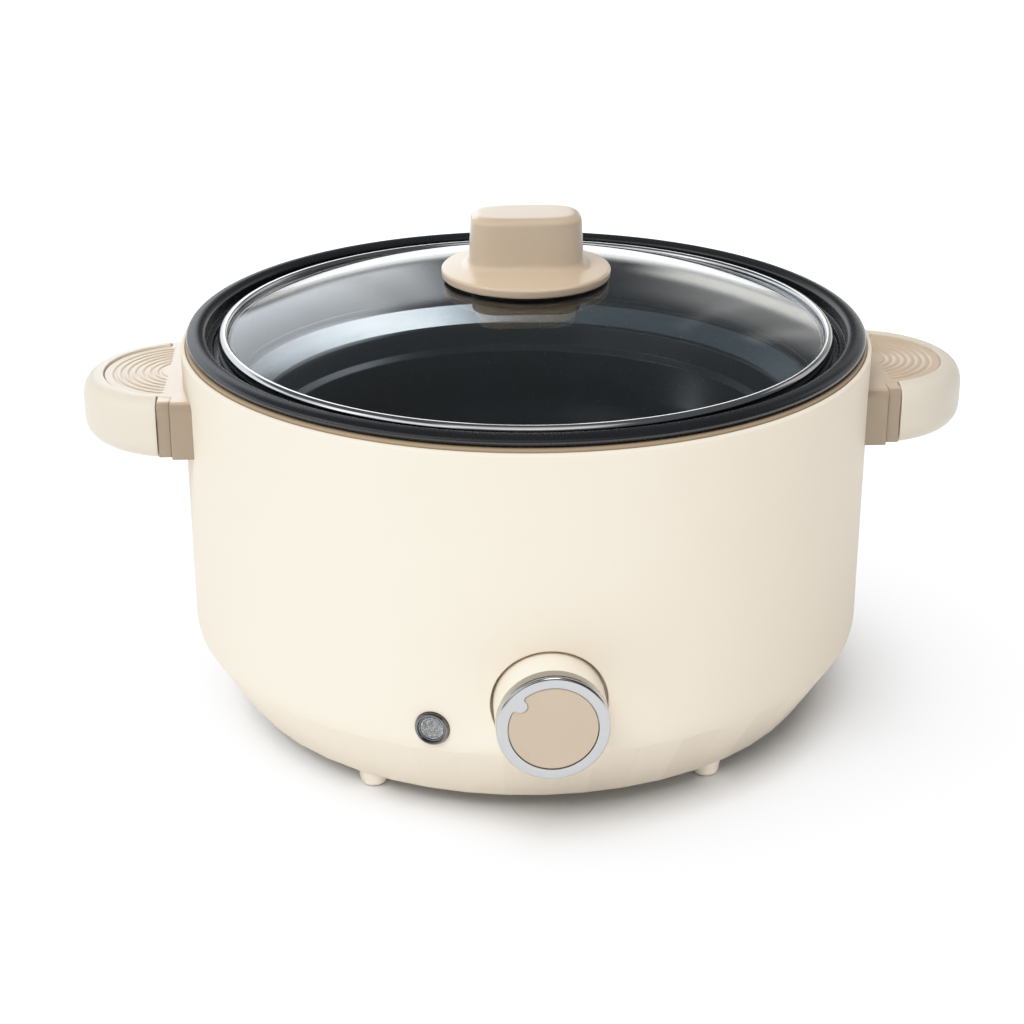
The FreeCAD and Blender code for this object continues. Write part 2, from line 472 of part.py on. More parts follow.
out["wire_neutral"] = group([
    tube([(nx, ty, LEG_Z - 11), (nx, ty, 14.6), (nx + 5, ty - 12, 14.6), (nx + 16, ty - 12, fz), (nx + 16, ty + 3, fz)], WR, 5),
    tube([(nx + 16, ty + 23, fz), (nx + 16, ty + 31, fz), (nx + 1, 95.0, 30.0), (7.0, 95.0, 46.0), (7.0, 104.0, 46.0)], WR, 5)])
out["wire_earth"] = tube([(0.0, 104.0, 50.0), (0.0, 94.0, 50.0), (0.0, 91.0, 26.0), (0.0, 74.0, 16.0), (0.0, 38.0, 16.0), (20.0, 18.0, 20.0), (20.0, 5.0, 24.0), (20.0, 5.0, STRAP_Z0)], WR, 5)
lb = V(LD.x * 122.0, LD.y * 122.0, LAMP_Z)
perp = V(math.cos(la), math.sin(la), 0)
q0 = lb + perp * 1.4
q1 = lb - perp * 1.4
out["lamp_leads"] = group([
    tube([tuple(q0), tuple(q0 - LD * 7), (q0.x + 3, q0.y + 12, 27), (-14.0, -99.0, 24.0), (-12.0, -99.0, 46.0), (-12.0, -106.0, 46.0)], 0.8, 3),
    tube([tuple(q1), tuple(q1 - LD * 7), (q1.x + 1, q1.y + 18, 31), (-20.0, -95.0, 31.0), (-12.0, -95.0, 54.0), (-12.0, -106.0, 54.0)], 0.8, 3)])

# ---------------------------------------------------------------- handles
def sideblock(sy, y0, y1, z0, z1, top_r, bot_r, x0, x1):
    """Block beside the grip, its outer top and bottom edges rounded."""
    f = prof([(y0, z0), (y1, z0, bot_r), (y1, z1, top_r), (y0, z1)])
    f = spin(f, 90 if sy > 0 else -90)
    f.translate(V(x0, 0, 0))
    return f.extrude(V(x1 - x0, 0, 0))


def handle(side):
    c = V(-HANDLE_CX, 0, 0)
    h = HANDLE_TOP - HANDLE_BOT
    wall = cyl(SHELL_R_TOP + 0.12, (0, 0, 0), (0, 0, 1), 200)
    # core: half disc under the grooved top, and the side blocks next to the wall
    core = cyl(INSET_R, (c.x, 0, HANDLE_BOT), (0, 0, 1), h - 0.7)
    core = core.fuse(box(-COVER_X, -120, -INSET_R, INSET_R, HANDLE_BOT, HANDLE_TOP - 0.7))
    for sy in (-1, 1):
        # proud block against the wall, then a slightly lower one; both are well rounded at the top
        a = sideblock(sy, 30.0, HANDLE_R, HANDLE_BOT + 0.9, HANDLE_TOP - 0.7, 3.6, 0.9, -BLOCK_X, -120)
        a = a.makeFillet(0.7, [ed for ed in a.Edges if ed.BoundBox.XMax < -BLOCK_X + 0.01 and ed.CenterOfMass.y * sy > 30.5])
        b = sideblock(sy, 30.0, HANDLE_R - 1.7, HANDLE_BOT + 1.4, HANDLE_TOP - 0.8, 3.2, 0.9, -COVER_X, -BLOCK_X + 1)
        core = core.fuse(a).fuse(b)
    core = core.cut(wall)
    # finger pocket in the underside, open downwards
    pocket = cyl(24.0, (c.x - 3.5, 0, HANDLE_BOT - 5), (0, 0, 1), 19.5).cut(box(-141.2, -60, -60, 60, 0, 200))
    pocket = pocket.makeFillet(3.0, [e for e in pocket.Edges if e.BoundBox.ZMin > HANDLE_BOT + 12])
    core = core.cut(pocket)
    # shallow concentric grooves on top
    gz = HANDLE_TOP - 0.7
    for g in range(GROOVES):
        t = Part.makeTorus(GROOVE_R0 + GROOVE_STEP * g, GROOVE_W / 2, V(c.x, 0, gz + 0.15), V(0, 0, 1))
        t = t.cut(box(-143.4, -60, -60, 60, 100, 200))
        core = core.cut(t)
    # screw pilots
    for sy in (-1, 1):
        core = core.cut(cyl(1.5, (-130, sy * HS_Y, HS_Z), (-1, 0, 0), 18.5))
    core = core.removeSplitter()
    # cover: one section turned round the half disc, squared off against the side blocks
    sec = prof([(INSET_R, HANDLE_BOT), (INSET_R, HANDLE_TOP, 0.7), (HANDLE_R, HANDLE_TOP, 6.8), (HANDLE_R, HANDLE_BOT, 6.8)])
    cov = sec.revolve(V(0, 0, 0), V(0, 0, 1), 360)
    cov.translate(c)
    cov = cov.cut(box(-COVER_X, 0, -60, 60, 0, 200))
    cov = cov.cut(cyl(INSET_R, (c.x, 0, 0), (0, 0, 1), 200))
    # steel plate behind the wall, and two screws through it
    bp = ring(SHELL_R_TOP - SHELL_T - 0.02, SHELL_R_TOP - SHELL_T - 1.6, (0, 0, HS_Z - 9), (0, 0, 1), 18)
    bp = bp.common(box(-140, -100, -33, 33, 0, 200))
    scr = []
    for sy in (-1, 1):
        bp = bp.cut(cyl(2.0, (-120, sy * HS_Y, HS_Z), (-1, 0, 0), 20))
        # flat spot so that the head bears
        xh = math.sqrt((SHELL_R_TOP - SHELL_T - 1.6) ** 2 - (HS_Y - 3.6) ** 2)
        xi = math.sqrt((SHELL_R_TOP - SHELL_T - 1.6) ** 2 - (HS_Y + 3.6) ** 2)
        bp = bp.fuse(ring(3.8, 2.0, (-xi + 0.6, sy * HS_Y, HS_Z), (-1, 0, 0), xh - xi + 0.7).cut(
            ring(300, SHELL_R_TOP - SHELL_T - 0.02, (0, 0, 0), (0, 0, 1), 200)))
        scr.append(panscrew((-xi + 0.6, sy * HS_Y, HS_Z), (-1, 0, 0), 1.48, 17.5, 3.6, 2.3))
    bp = bp.removeSplitter()
    items = {"handle_core": core, "handle_cover": cov, "handle_backplate": bp, "handle_screws": group(scr)}
    if side == "right":
        items = {kk: spin(vv, 180) for kk, vv in items.items()}
    for kk, vv in items.items():
        out[side + "_" + kk] = vv

handle("left")
handle("right")

# ---------------------------------------------------------------- lid
zc = GLASS_APEX - GLASS_R
ge_o = zc + math.sqrt(GLASS_R ** 2 - GLASS_EDGE_R ** 2)
ge_i = zc + math.sqrt((GLASS_R - GLASS_T) ** 2 - GLASS_EDGE_R ** 2)
def arcpt(R, r):
    return V(r, 0, zc + math.sqrt(R * R - r * r))
HOLE = 4.0
ed = [Part.Arc(arcpt(GLASS_R, HOLE), arcpt(GLASS_R, 60), arcpt(GLASS_R, GLASS_EDGE_R)).toShape(),
      Part.makeLine(arcpt(GLASS_R, GLASS_EDGE_R), arcpt(GLASS_R - GLASS_T, GLASS_EDGE_R)),
      Part.Arc(arcpt(GLASS_R - GLASS_T, GLASS_EDGE_R), arcpt(GLASS_R - GLASS_T, 60), arcpt(GLASS_R - GLASS_T, HOLE)).toShape(),
      Part.makeLine(arcpt(GLASS_R - GLASS_T, HOLE), arcpt(GLASS_R, HOLE))]
glass = Part.Face(Part.Wire(ed)).revolve(V(0, 0, 0), V(0, 0, 1), 360)
out["lid_glass"] = glass
bandsec = revolve([(BAND_RI, SEAT_Z, 0.3), (BAND_RO, SEAT_Z, 0.9), (BAND_RO, BAND_TOP_Z, 1.6), (BAND_RI, BAND_TOP_Z, 0.35)])
out["lid_band"] = bandsec.cut(glass)

# lid knob: turned flange and a rounded-rectangle grip
flange = revolve([(0, FLANGE_Z0), (FLANGE_R - 0.4, FLANGE_Z0, 0.6), (FLANGE_R, FLANGE_Z1, 1.5), (0, FLANGE_Z1 + 4.2)])
grip = rrect(GRIP_L, GRIP_W, GRIP_C, 177.0, GRIP_TOP - 177.0)
grip = grip.makeFillet(2.6, [e for e in grip.Edges if e.BoundBox.ZMin > GRIP_TOP - 0.1])
knob = flange.fuse(grip).removeSplitter()
try:
    cand = []
    for e in knob.Edges:
        b = e.BoundBox
        if b.ZMin > FLANGE_Z1 - 0.2 and b.ZMax < 184 and (abs(b.XMin) <= GRIP_L / 2 + 0.01 and abs(b.XMax) <= GRIP_L / 2 + 0.01):
            cand.append(e)
    knob = knob.makeFillet(3.2, cand)
except Exception as ex:
    print("grip root fillet left off:", ex)
knob = knob.cut(cyl(1.75, (0, 0, 170), (0, 0, 1), 18))
# the knob's underside follows the dome, and the seal fills the space between them
relief = revolve([(0, 172), (0, GLASS_APEX + 0.8), (31.6, GLASS_APEX + 0.8), (31.6, 172)]).common(Part.makeSphere(GLASS_R + 0.7, V(0, 0, zc)))
knob = knob.cut(relief)
out["lid_knob"] = knob
dome_out = Part.makeSphere(GLASS_R, V(0, 0, zc))
seal = ring(31.6, 4.2, (0, 0, 172), (0, 0, 1), 5.0).common(revolve([(0, 172), (0, 177), (31.6, 177), (31.6, 172)])).cut(dome_out).cut(knob)
out["lid_knob_seal"] = seal
dome_in = Part.makeSphere(GLASS_R - GLASS_T, V(0, 0, zc))
bk = rrect(43.0, 25.0, 10.0, BLOCK_Z, 18).common(dome_in).cut(cyl(2.1, (0, 0, 150), (0, 0, 1), 40)).cut(cyl(4.3, (0, 0, 155), (0, 0, 1), 10.6))
bk = bk.makeFillet(1.4, [e for e in bk.Edges if e.BoundBox.ZMax < BLOCK_Z + 0.1 and (e.BoundBox.XLength > 12 or e.BoundBox.YMax > 5 or e.BoundBox.YMin < -5)])
out["lid_knob_block"] = bk
out["lid_knob_screw"] = panscrew((0, 0, 165.6), (0, 0, 1), 1.7, 20.0, 3.7, 2.2)

# ---------------------------------------------------------------- write
for name, s in out.items():
    if s.ShapeType == "Compound" and len(s.Solids) == 1:
        s = s.Solids[0]
    s.exportStep("parts/%s.step" % name)
    b = s.BoundBox
    print("%-24s solids %d valid %s vol %9.1f  x %7.1f..%6.1f y %7.1f..%6.1f z %6.1f..%6.1f" % (name, len(s.Solids), s.isValid(), s.Volume, b.XMin, b.XMax, b.YMin, b.YMax, b.ZMin, b.ZMax))
print(len(out), "nodes")
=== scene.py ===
import bpy, bmesh, math
import numpy as np
from mathutils import Vector, Matrix


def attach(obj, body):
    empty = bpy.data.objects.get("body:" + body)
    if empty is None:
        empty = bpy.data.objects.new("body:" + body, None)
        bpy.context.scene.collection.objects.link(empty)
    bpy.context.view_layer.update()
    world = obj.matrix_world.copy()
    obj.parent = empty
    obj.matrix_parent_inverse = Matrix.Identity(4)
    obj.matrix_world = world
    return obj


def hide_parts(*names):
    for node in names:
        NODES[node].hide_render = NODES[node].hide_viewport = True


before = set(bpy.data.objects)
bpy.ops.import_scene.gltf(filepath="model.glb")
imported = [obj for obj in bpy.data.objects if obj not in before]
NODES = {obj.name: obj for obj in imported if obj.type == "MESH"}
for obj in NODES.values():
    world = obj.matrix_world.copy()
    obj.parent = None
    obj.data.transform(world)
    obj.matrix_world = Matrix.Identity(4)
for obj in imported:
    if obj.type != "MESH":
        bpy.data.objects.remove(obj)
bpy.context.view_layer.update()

MM = 0.001
TAU = 2 * math.pi

# ------------------------------------------------------------------ dimensions, mm, as in the CAD model
SHELL_TOP, SHELL_BOT, LIP_Z = 137.4, 137.5, 151.8
CORNER_R, CORNER_DEG = 15.8, 18.0
FACETS, FTOP_R, FTOP_Z, BAND_R, BAND_Z, FOOT_H = 50, 136.6, 34.1, 120.3, 8.2, 7.4
KNOB_Z, KNOB_R, KNOB_FACE, KNOB_RING, KNOB_BACK, WELL_R, WELL_Y = 55.2, 20.3, 155.6, 149.6, 132.0, 21.4, 131.0
LAMP_AZ, LAMP_Z, LAMP_R = math.radians(-17.9), 43.7, 6.45
HCX, HR, HIN, HTOP, HBOT, BLOCK_X, COVER_X = 136.5, 41.0, 32.3, 138.6, 114.0, 139.8, 145.2
GLASS_R, GLASS_T, APEX = 340.5, 4.0, 175.8
ZC = APEX - GLASS_R


# ------------------------------------------------------------------ mesh helpers
def make(name, verts, faces, smooth=True, angle=35.0, sharp=None):
    """A mesh object from points in mm. sharp: not used."""
    me = bpy.data.meshes.new(name)
    me.from_pydata([(v[0] * MM, v[1] * MM, v[2] * MM) for v in verts], [], faces)
    bm = bmesh.new()
    bm.from_mesh(me)
    bmesh.ops.remove_doubles(bm, verts=bm.verts, dist=1e-7)
    bmesh.ops.recalc_face_normals(bm, faces=bm.faces)
    bm.to_mesh(me)
    bm.free()
    if smooth:
        me.polygons.foreach_set("use_smooth", [True] * len(me.polygons))
        me.set_sharp_from_angle(angle=math.radians(angle))
    ob = bpy.data.objects.new(name, me)
    bpy.context.scene.collection.objects.link(ob)
    return ob


def outline(pts, closed=True, step=0.35):
    """Points (a, b) or (a, b, corner radius) to a polyline with its corners rounded."""
    out = []
    n = len(pts)
    for i in range(n):
        p = Vector((pts[i][0], pts[i][1]))
        rad = pts[i][2] if len(pts[i]) > 2 else 0
        if rad <= 0 or (not closed and i in (0, n - 1)):
            out.append((p.x, p.y))
            continue
        a = Vector(pts[i - 1][:2])
        b = Vector(pts[(i + 1) % n][:2])
        u, v = (a - p).normalized(), (b - p).normalized()
        ang = u.angle(v)
        if abs(math.pi - ang) < 1e-5:
            out.append((p.x, p.y))
            continue
        d = rad / math.tan(ang / 2)
        c = p + (u + v).normalized() * (rad / math.sin(ang / 2))
        s, e = p + u * d - c, p + v * d - c
        sweep = math.pi - ang
        m = max(3, int(math.ceil(rad * sweep / step)))
        m = min(m, 24)
        turn = 1 if s.x * e.y - s.y * e.x > 0 else -1
        a0 = math.atan2(s.y, s.x)
        for k in range(m + 1):
            t = a0 + turn * sweep * k / m
            out.append((c.x + rad * math.cos(t), c.y + rad * math.sin(t)))
    return out


def axis_z(r, h, t):
    return (r * math.sin(t), -r * math.cos(t), h)


def axis_knob(r, h, t):
    return (r * math.sin(t), -h, KNOB_Z + r * math.cos(t))


LD = Vector((math.sin(LAMP_AZ), -math.cos(LAMP_AZ), 0))
LP = Vector((math.cos(LAMP_AZ), math.sin(LAMP_AZ), 0))


def axis_lamp(r, h, t):
    p = LD * h + LP * (r * math.sin(t)) + Vector((0, 0, LAMP_Z + r * math.cos(t)))
    return (p.x, p.y, p.z)


def lathe_data(prof, n, place=axis_z, closed=True):
    """Vertices and faces of a turned outline; points on the axis become one vertex."""
    verts, rows = [], []
    for r, h in prof:
        if r < 1e-6:
            rows.append([len(verts)] * n)
            verts.append(place(0, h, 0))
        else:
            rows.append(list(range(len(verts), len(verts) + n)))
            verts += [place(r, h, TAU * k / n) for k in range(n)]
    faces = []
    m = len(rows)
    for i in range(m if closed else m - 1):
        a, b = rows[i], rows[(i + 1) % m]
        for k in range(n):
            q = [a[k], a[(k + 1) % n], b[(k + 1) % n], b[k]]
            f = []
            for v in q:
                if v not in f:
                    f.append(v)
            if len(f) > 2:
                faces.append(f)
    return verts, faces


def lathe(name, prof, n=192, place=axis_z, closed=True, angle=35.0):
    v, f = lathe_data(prof, n, place, closed)
    return make(name, v, f, angle=angle)


def merge(parts):
    """Joins (verts, faces) lists."""
    V, F = [], []
    for v, f in parts:
        k = len(V)
        V += v
        F += [[i + k for i in q] for q in f]
    return V, F


def rr_radius(t, l, w, c):
    """Distance from the centre to a rounded rectangle's edge in direction t (from -Y towards +X)."""
    dx, dy = math.sin(t), -math.cos(t)
    hx, hy = l / 2, w / 2
    ax, ay = abs(dx), abs(dy)
    cx, cy = hx - c, hy - c
    if ax > 1e-9 and hx / ax * ay <= cy:
        return hx / ax
    if ay > 1e-9 and hy / ay * ax <= cx:
        return hy / ay
    b = ax * cx + ay * cy
    return b + math.sqrt(max(0.0, b * b - (cx * cx + cy * cy - c * c)))


def loft(rings, n, cap0=True, cap1=True):
    """rings: lists of n points; caps are fans to the middle."""
    V, F, rows = [], [], []
    for ring in rings:
        rows.append(list(range(len(V), len(V) + n)))
        V += ring
    for i in range(len(rows) - 1):
        for k in range(n):
            F.append([rows[i][k], rows[i][(k + 1) % n], rows[i + 1][(k + 1) % n], rows[i + 1][k]])
    for cap, row in ((cap0, rows[0]), (cap1, rows[-1])):
        if cap:
            m = np.mean([V[i] for i in row], axis=0)
            V.append(tuple(m))
            F += [[row[k], row[(k + 1) % n], len(V) - 1] for k in range(n)]
    return V, F


# ------------------------------------------------------------------ materials
def new_mat(name):
    m = bpy.data.materials.new(name)
    m.use_nodes = True
    nt = m.node_tree
    nt.nodes.clear()
    out = nt.nodes.new("ShaderNodeOutputMaterial")
    p = nt.nodes.new("ShaderNodeBsdfPrincipled")
    nt.links.new(p.outputs[0], out.inputs[0])
    return m, nt, p, out


def coords(nt):
    return nt.nodes.new("ShaderNodeTexCoord").outputs["Object"]


def noise(nt, vec, scale, detail=2.0, rough=0.5, dist=0.0):
    t = nt.nodes.new("ShaderNodeTexNoise")
    t.inputs["Scale"].default_value = scale
    t.inputs["Detail"].default_value = detail
    t.inputs["Roughness"].default_value = rough
    t.inputs["Distortion"].default_value = dist
    nt.links.new(vec, t.inputs["Vector"])
    return t.outputs["Fac"]


def mathn(nt, op, a, b=None, c=None):
    t = nt.nodes.new("ShaderNodeMath")
    t.operation = op
    for i, v in enumerate((a, b, c)):
        if v is None:
            continue
        if isinstance(v, (int, float)):
            t.inputs[i].default_value = v
        else:
            nt.links.new(v, t.inputs[i])
    return t.outputs[0]


def remap(nt, v, a0, a1, b0, b1):
    t = nt.nodes.new("ShaderNodeMapRange")
    t.inputs["From Min"].default_value = a0
    t.inputs["From Max"].default_value = a1
    t.inputs["To Min"].default_value = b0
    t.inputs["To Max"].default_value = b1
    nt.links.new(v, t.inputs["Value"])
    return t.outputs["Result"]


def ramp(nt, v, stops):
    t = nt.nodes.new("ShaderNodeValToRGB")
    cr = t.color_ramp
    while len(cr.elements) < len(stops):
        cr.elements.new(0.5)
    for e, (pos, col) in zip(cr.elements, stops):
        e.position = pos
        e.color = (*col, 1)
    nt.links.new(v, t.inputs["Fac"])
    return t.outputs["Color"]


def bump(nt, height, strength, dist, normal=None):
    t = nt.nodes.new("ShaderNodeBump")
    t.inputs["Strength"].default_value = strength
    t.inputs["Distance"].default_value = dist
    nt.links.new(height, t.inputs["Height"])
    if normal is not None:
        nt.links.new(normal, t.inputs["Normal"])
    return t.outputs["Normal"]


def shade(c, k):
    return tuple(min(1.0, x * k) for x in c)


def lin(r, g, b):
    """sRGB 0-255 to linear."""
    return tuple(((x / 255) / 12.92) if x / 255 <= 0.04045 else (((x / 255) + 0.055) / 1.055) ** 2.4 for x in (r, g, b))


def plastic(name, col, rough=0.42, grain=1900.0, depth=0.05, vary=0.02, spec=0.5, coat=0.0, coat_rough=0.2, sss=0.0):
    """Moulded plastic: faint flow mottling, fine spark-eroded grain, slightly uneven gloss."""
    m, nt, p, out = new_mat(name)
    v = coords(nt)
    broad = noise(nt, v, 14.0, 3.0, 0.55, 0.3)
    fine = noise(nt, v, 900.0, 2.0)
    f = mathn(nt, "ADD", mathn(nt, "MULTIPLY", broad, 0.7), mathn(nt, "MULTIPLY", fine, 0.3))
    nt.links.new(ramp(nt, f, [(0.3, shade(col, 1 - vary)), (0.7, shade(col, 1 + vary))]), p.inputs["Base Color"])
    g = noise(nt, v, grain, 2.0, 0.6)
    nt.links.new(remap(nt, mathn(nt, "ADD", mathn(nt, "MULTIPLY", g, 0.6), mathn(nt, "MULTIPLY", broad, 0.4)), 0.3, 0.7, rough - 0.035, rough + 0.035), p.inputs["Roughness"])
    nt.links.new(bump(nt, g, depth, 0.00012), p.inputs["Normal"])
    p.inputs["Specular IOR Level"].default_value = spec
    p.inputs["Coat Weight"].default_value = coat
    p.inputs["Coat Roughness"].default_value = coat_rough
    if sss > 0:
        p.inputs["Subsurface Weight"].default_value = sss
        p.inputs["Subsurface Radius"].default_value = (0.0022, 0.0014, 0.0009)
        p.inputs["Subsurface Scale"].default_value = 1.0
    return m


def around(nt, v):
    """(radius, height, angle) of a point about the Z axis."""
    s = nt.nodes.new("ShaderNodeSeparateXYZ")
    nt.links.new(v, s.inputs[0])
    r = mathn(nt, "SQRT", mathn(nt, "ADD", mathn(nt, "MULTIPLY", s.outputs[0], s.outputs[0]), mathn(nt, "MULTIPLY", s.outputs[1], s.outputs[1])))
    a = mathn(nt, "ARCTAN2", s.outputs[0], s.outputs[1])
    c = nt.nodes.new("ShaderNodeCombineXYZ")
    nt.links.new(mathn(nt, "MULTIPLY", r, 1.0), c.inputs[0])
    nt.links.new(s.outputs[2], c.inputs[1])
    nt.links.new(mathn(nt, "MULTIPLY", a, 0.004), c.inputs[2])
    return c.outputs[0]


def metal(name, col, rough=0.2, spun=False, line=2600.0, depth=0.04, vary=0.03):
    """Metal with fine polishing lines (round the Z axis if spun) and a little smudging."""
    m, nt, p, out = new_mat(name)
    v = coords(nt)
    w = around(nt, v) if spun else v
    lines = noise(nt, w, line, 2.0, 0.65)
    smudge = noise(nt, v, 45.0, 4.0, 0.6)
    nt.links.new(ramp(nt, smudge, [(0.3, shade(col, 1 - vary)), (0.7, shade(col, 1 + vary))]), p.inputs["Base Color"])
    p.inputs["Metallic"].default_value = 1.0
    nt.links.new(remap(nt, mathn(nt, "ADD", mathn(nt, "MULTIPLY", lines, 0.5), mathn(nt, "MULTIPLY", smudge, 0.5)), 0.3, 0.7, rough * 0.75, rough * 1.3), p.inputs["Roughness"])
    nt.links.new(bump(nt, lines, depth, 0.00004), p.inputs["Normal"])
    return m


CREAM = lin(239, 228, 211)
BEIGE = lin(194, 177, 156)
M = {}
M["shell"] = plastic("shell_ivory_plastic", CREAM, 0.50, 1700.0, 0.035, 0.012, 0.05)
M["cream"] = plastic("knob_ivory_plastic", lin(240, 230, 214), 0.38, 1700.0, 0.03, 0.012, 0.35)
# painted shade: the handle covers take the shell's ivory set darker, standing in for the lower light that falls on them
M["handlecream"] = plastic("handle_ivory_plastic", lin(214, 205, 190), 0.42, 1700.0, 0.03, 0.012, 0.28)
M["beige"] = plastic("beige_plastic", BEIGE, 0.40, 1500.0, 0.05, 0.02, 0.5)
# painted shade: the lid knob's beige is set a little darker than the control knob's, standing in for the weaker light
# over the dark pan
M["lidknob"] = plastic("lid_knob_beige_plastic", lin(187, 169, 146), 0.31, 1500.0, 0.03, 0.015, 0.5)


def painted_light_by_height(m, z0, z1, k0, k1):
    """Painted light and shade: base colour scaled from k0 at height z0 to k1 at z1."""
    nt = m.node_tree
    p = next(n for n in nt.nodes if n.type == "BSDF_PRINCIPLED")
    src = p.inputs["Base Color"].links[0].from_socket
    s = nt.nodes.new("ShaderNodeSeparateXYZ")
    nt.links.new(coords(nt), s.inputs[0])
    vec = nt.nodes.new("ShaderNodeVectorMath")
    vec.operation = "SCALE"
    nt.links.new(src, vec.inputs[0])
    nt.links.new(remap(nt, s.outputs[2], z0, z1, k0, k1), vec.inputs["Scale"])
    nt.links.new(vec.outputs[0], p.inputs["Base Color"])


# painted light: the lid knob's flange, below 179.2 mm, is set 1.14 times lighter than the grip above it
painted_light_by_height(M["lidknob"], 0.1792, 0.1825, 1.14, 1.0)


def scaled(m, amount):
    """Base colour times a factor built by amount(node tree, x, y, z)."""
    nt = m.node_tree
    p = next(n for n in nt.nodes if n.type == "BSDF_PRINCIPLED")
    src = p.inputs["Base Color"].links[0].from_socket
    s = nt.nodes.new("ShaderNodeSeparateXYZ")
    nt.links.new(coords(nt), s.inputs[0])
    vec = nt.nodes.new("ShaderNodeVectorMath")
    vec.operation = "SCALE"
    nt.links.new(src, vec.inputs[0])
    nt.links.new(amount(nt, s.outputs[0], s.outputs[1], s.outputs[2]), vec.inputs["Scale"])
    nt.links.new(vec.outputs[0], p.inputs["Base Color"])


def painted_joint_shade(nt, x, y, z):
    """Painted shade: a dark line where the two blocks beside a grip meet, standing in for the shadow in the gap between
    them.
    """
    ax = mathn(nt, "ABSOLUTE", x)
    on = mathn(nt, "MULTIPLY", mathn(nt, "GREATER_THAN", ax, (BLOCK_X - 0.10) * MM), mathn(nt, "LESS_THAN", ax, (BLOCK_X + 0.42) * MM))
    on = mathn(nt, "MULTIPLY", on, mathn(nt, "GREATER_THAN", mathn(nt, "ABSOLUTE", y), HIN * MM))
    return mathn(nt, "SUBTRACT", 1.0, mathn(nt, "MULTIPLY", on, 0.45))


def painted_flat_shade(nt, x, y, z):
    """Painted shade: every other flat of the shell's lower band is darkened a little, most on the shaded side, as if
    neighbouring flats took the light differently.
    """
    slope = (FTOP_R - BAND_R) / (FTOP_Z - BAND_Z)
    step = TAU / FACETS
    t = mathn(nt, "ARCTAN2", x, mathn(nt, "MULTIPLY", y, -1.0))
    k = mathn(nt, "FLOOR", mathn(nt, "DIVIDE", t, step))
    a = mathn(nt, "SUBTRACT", t, mathn(nt, "MULTIPLY", mathn(nt, "ADD", k, 0.5), step))
    r = mathn(nt, "SQRT", mathn(nt, "ADD", mathn(nt, "MULTIPLY", x, x), mathn(nt, "MULTIPLY", y, y)))
    flat = mathn(nt, "ADD", (BAND_R - slope * BAND_Z) * MM, mathn(nt, "MULTIPLY", z, slope))
    off = mathn(nt, "ABSOLUTE", mathn(nt, "SUBTRACT", mathn(nt, "MULTIPLY", r, mathn(nt, "COSINE", a)), flat))
    odd = mathn(nt, "ABSOLUTE", mathn(nt, "MODULO", k, 2.0))
    on = mathn(nt, "MULTIPLY", mathn(nt, "LESS_THAN", off, 0.00006), odd)
    return mathn(nt, "SUBTRACT", 1.0, mathn(nt, "MULTIPLY", on, remap(nt, x, -0.06, 0.10, 0.006, 0.055)))


# painted light and shade: the grip core's beige is set dark for its front and side faces, and its top faces are lifted
# 1.47 times, as if lit more strongly from above
M["handlecore"] = plastic("handle_beige_plastic", lin(157, 140, 119), 0.36, 1500.0, 0.035, 0.015, 0.5)
painted_light_by_height(M["handlecore"], 0.1371, 0.1375, 1.0, 1.47)
# painted shade: a dark line in the beige where the blocks meet, standing in for the shadow in the gap
scaled(M["handlecore"], painted_joint_shade)
# painted shade: every other flat of the lower band is darkened, most on the right
scaled(M["shell"], painted_flat_shade)
M["block"] = plastic("lid_block_taupe_plastic", lin(80, 72, 62), 0.42, 1300.0, 0.06, 0.03, 0.4)
M["seal"] = plastic("beige_seal_rubber", lin(166, 147, 122), 0.55, 1200.0, 0.08, 0.03, 0.35)
M["base"] = plastic("base_ivory_plastic", lin(232, 222, 203), 0.55, 1100.0, 0.12, 0.03, 0.4)
M["dark"] = plastic("dark_plastic", lin(42, 42, 44), 0.45, 1200.0, 0.1, 0.10, 0.5)
M["inletblack"] = plastic("inlet_black_plastic", lin(30, 30, 31), 0.42, 1400.0, 0.10, 0.12, 0.5)
M["rubber"] = plastic("black_rubber", lin(26, 26, 27), 0.7, 1200.0, 0.15, 0.12, 0.3)
M["ringsilver"] = metal("knob_chrome", (0.41, 0.41, 0.41), 0.17, False, 3000.0, 0.02, 0.015)
M["lidsteel"] = metal("lid_band_polished_steel", (0.60, 0.60, 0.60), 0.14, True, 1800.0, 0.05, 0.03)
M["steel"] = metal("zinc_steel", (0.56, 0.56, 0.55), 0.33, False, 1500.0, 0.10, 0.08)
M["alu"] = metal("cast_aluminium", (0.66, 0.66, 0.67), 0.48, False, 700.0, 0.25, 0.06)
M["brass"] = metal("brass", (0.78, 0.62, 0.32), 0.28, False, 1500.0, 0.06, 0.08)
M["ceramic"] = plastic("ceramic", lin(220, 214, 200), 0.5, 900.0, 0.15, 0.03, 0.5)
M["brown"] = plastic("wire_brown", lin(96, 62, 40), 0.5, 900.0, 0.08, 0.05)
M["blue"] = plastic("wire_blue", lin(60, 96, 160), 0.5, 900.0, 0.08, 0.05)
M["green"] = plastic("wire_green_yellow", lin(110, 150, 50), 0.5, 900.0, 0.08, 0.05)
M["white"] = plastic("wire_white", lin(215, 215, 210), 0.5, 900.0, 0.08, 0.05)


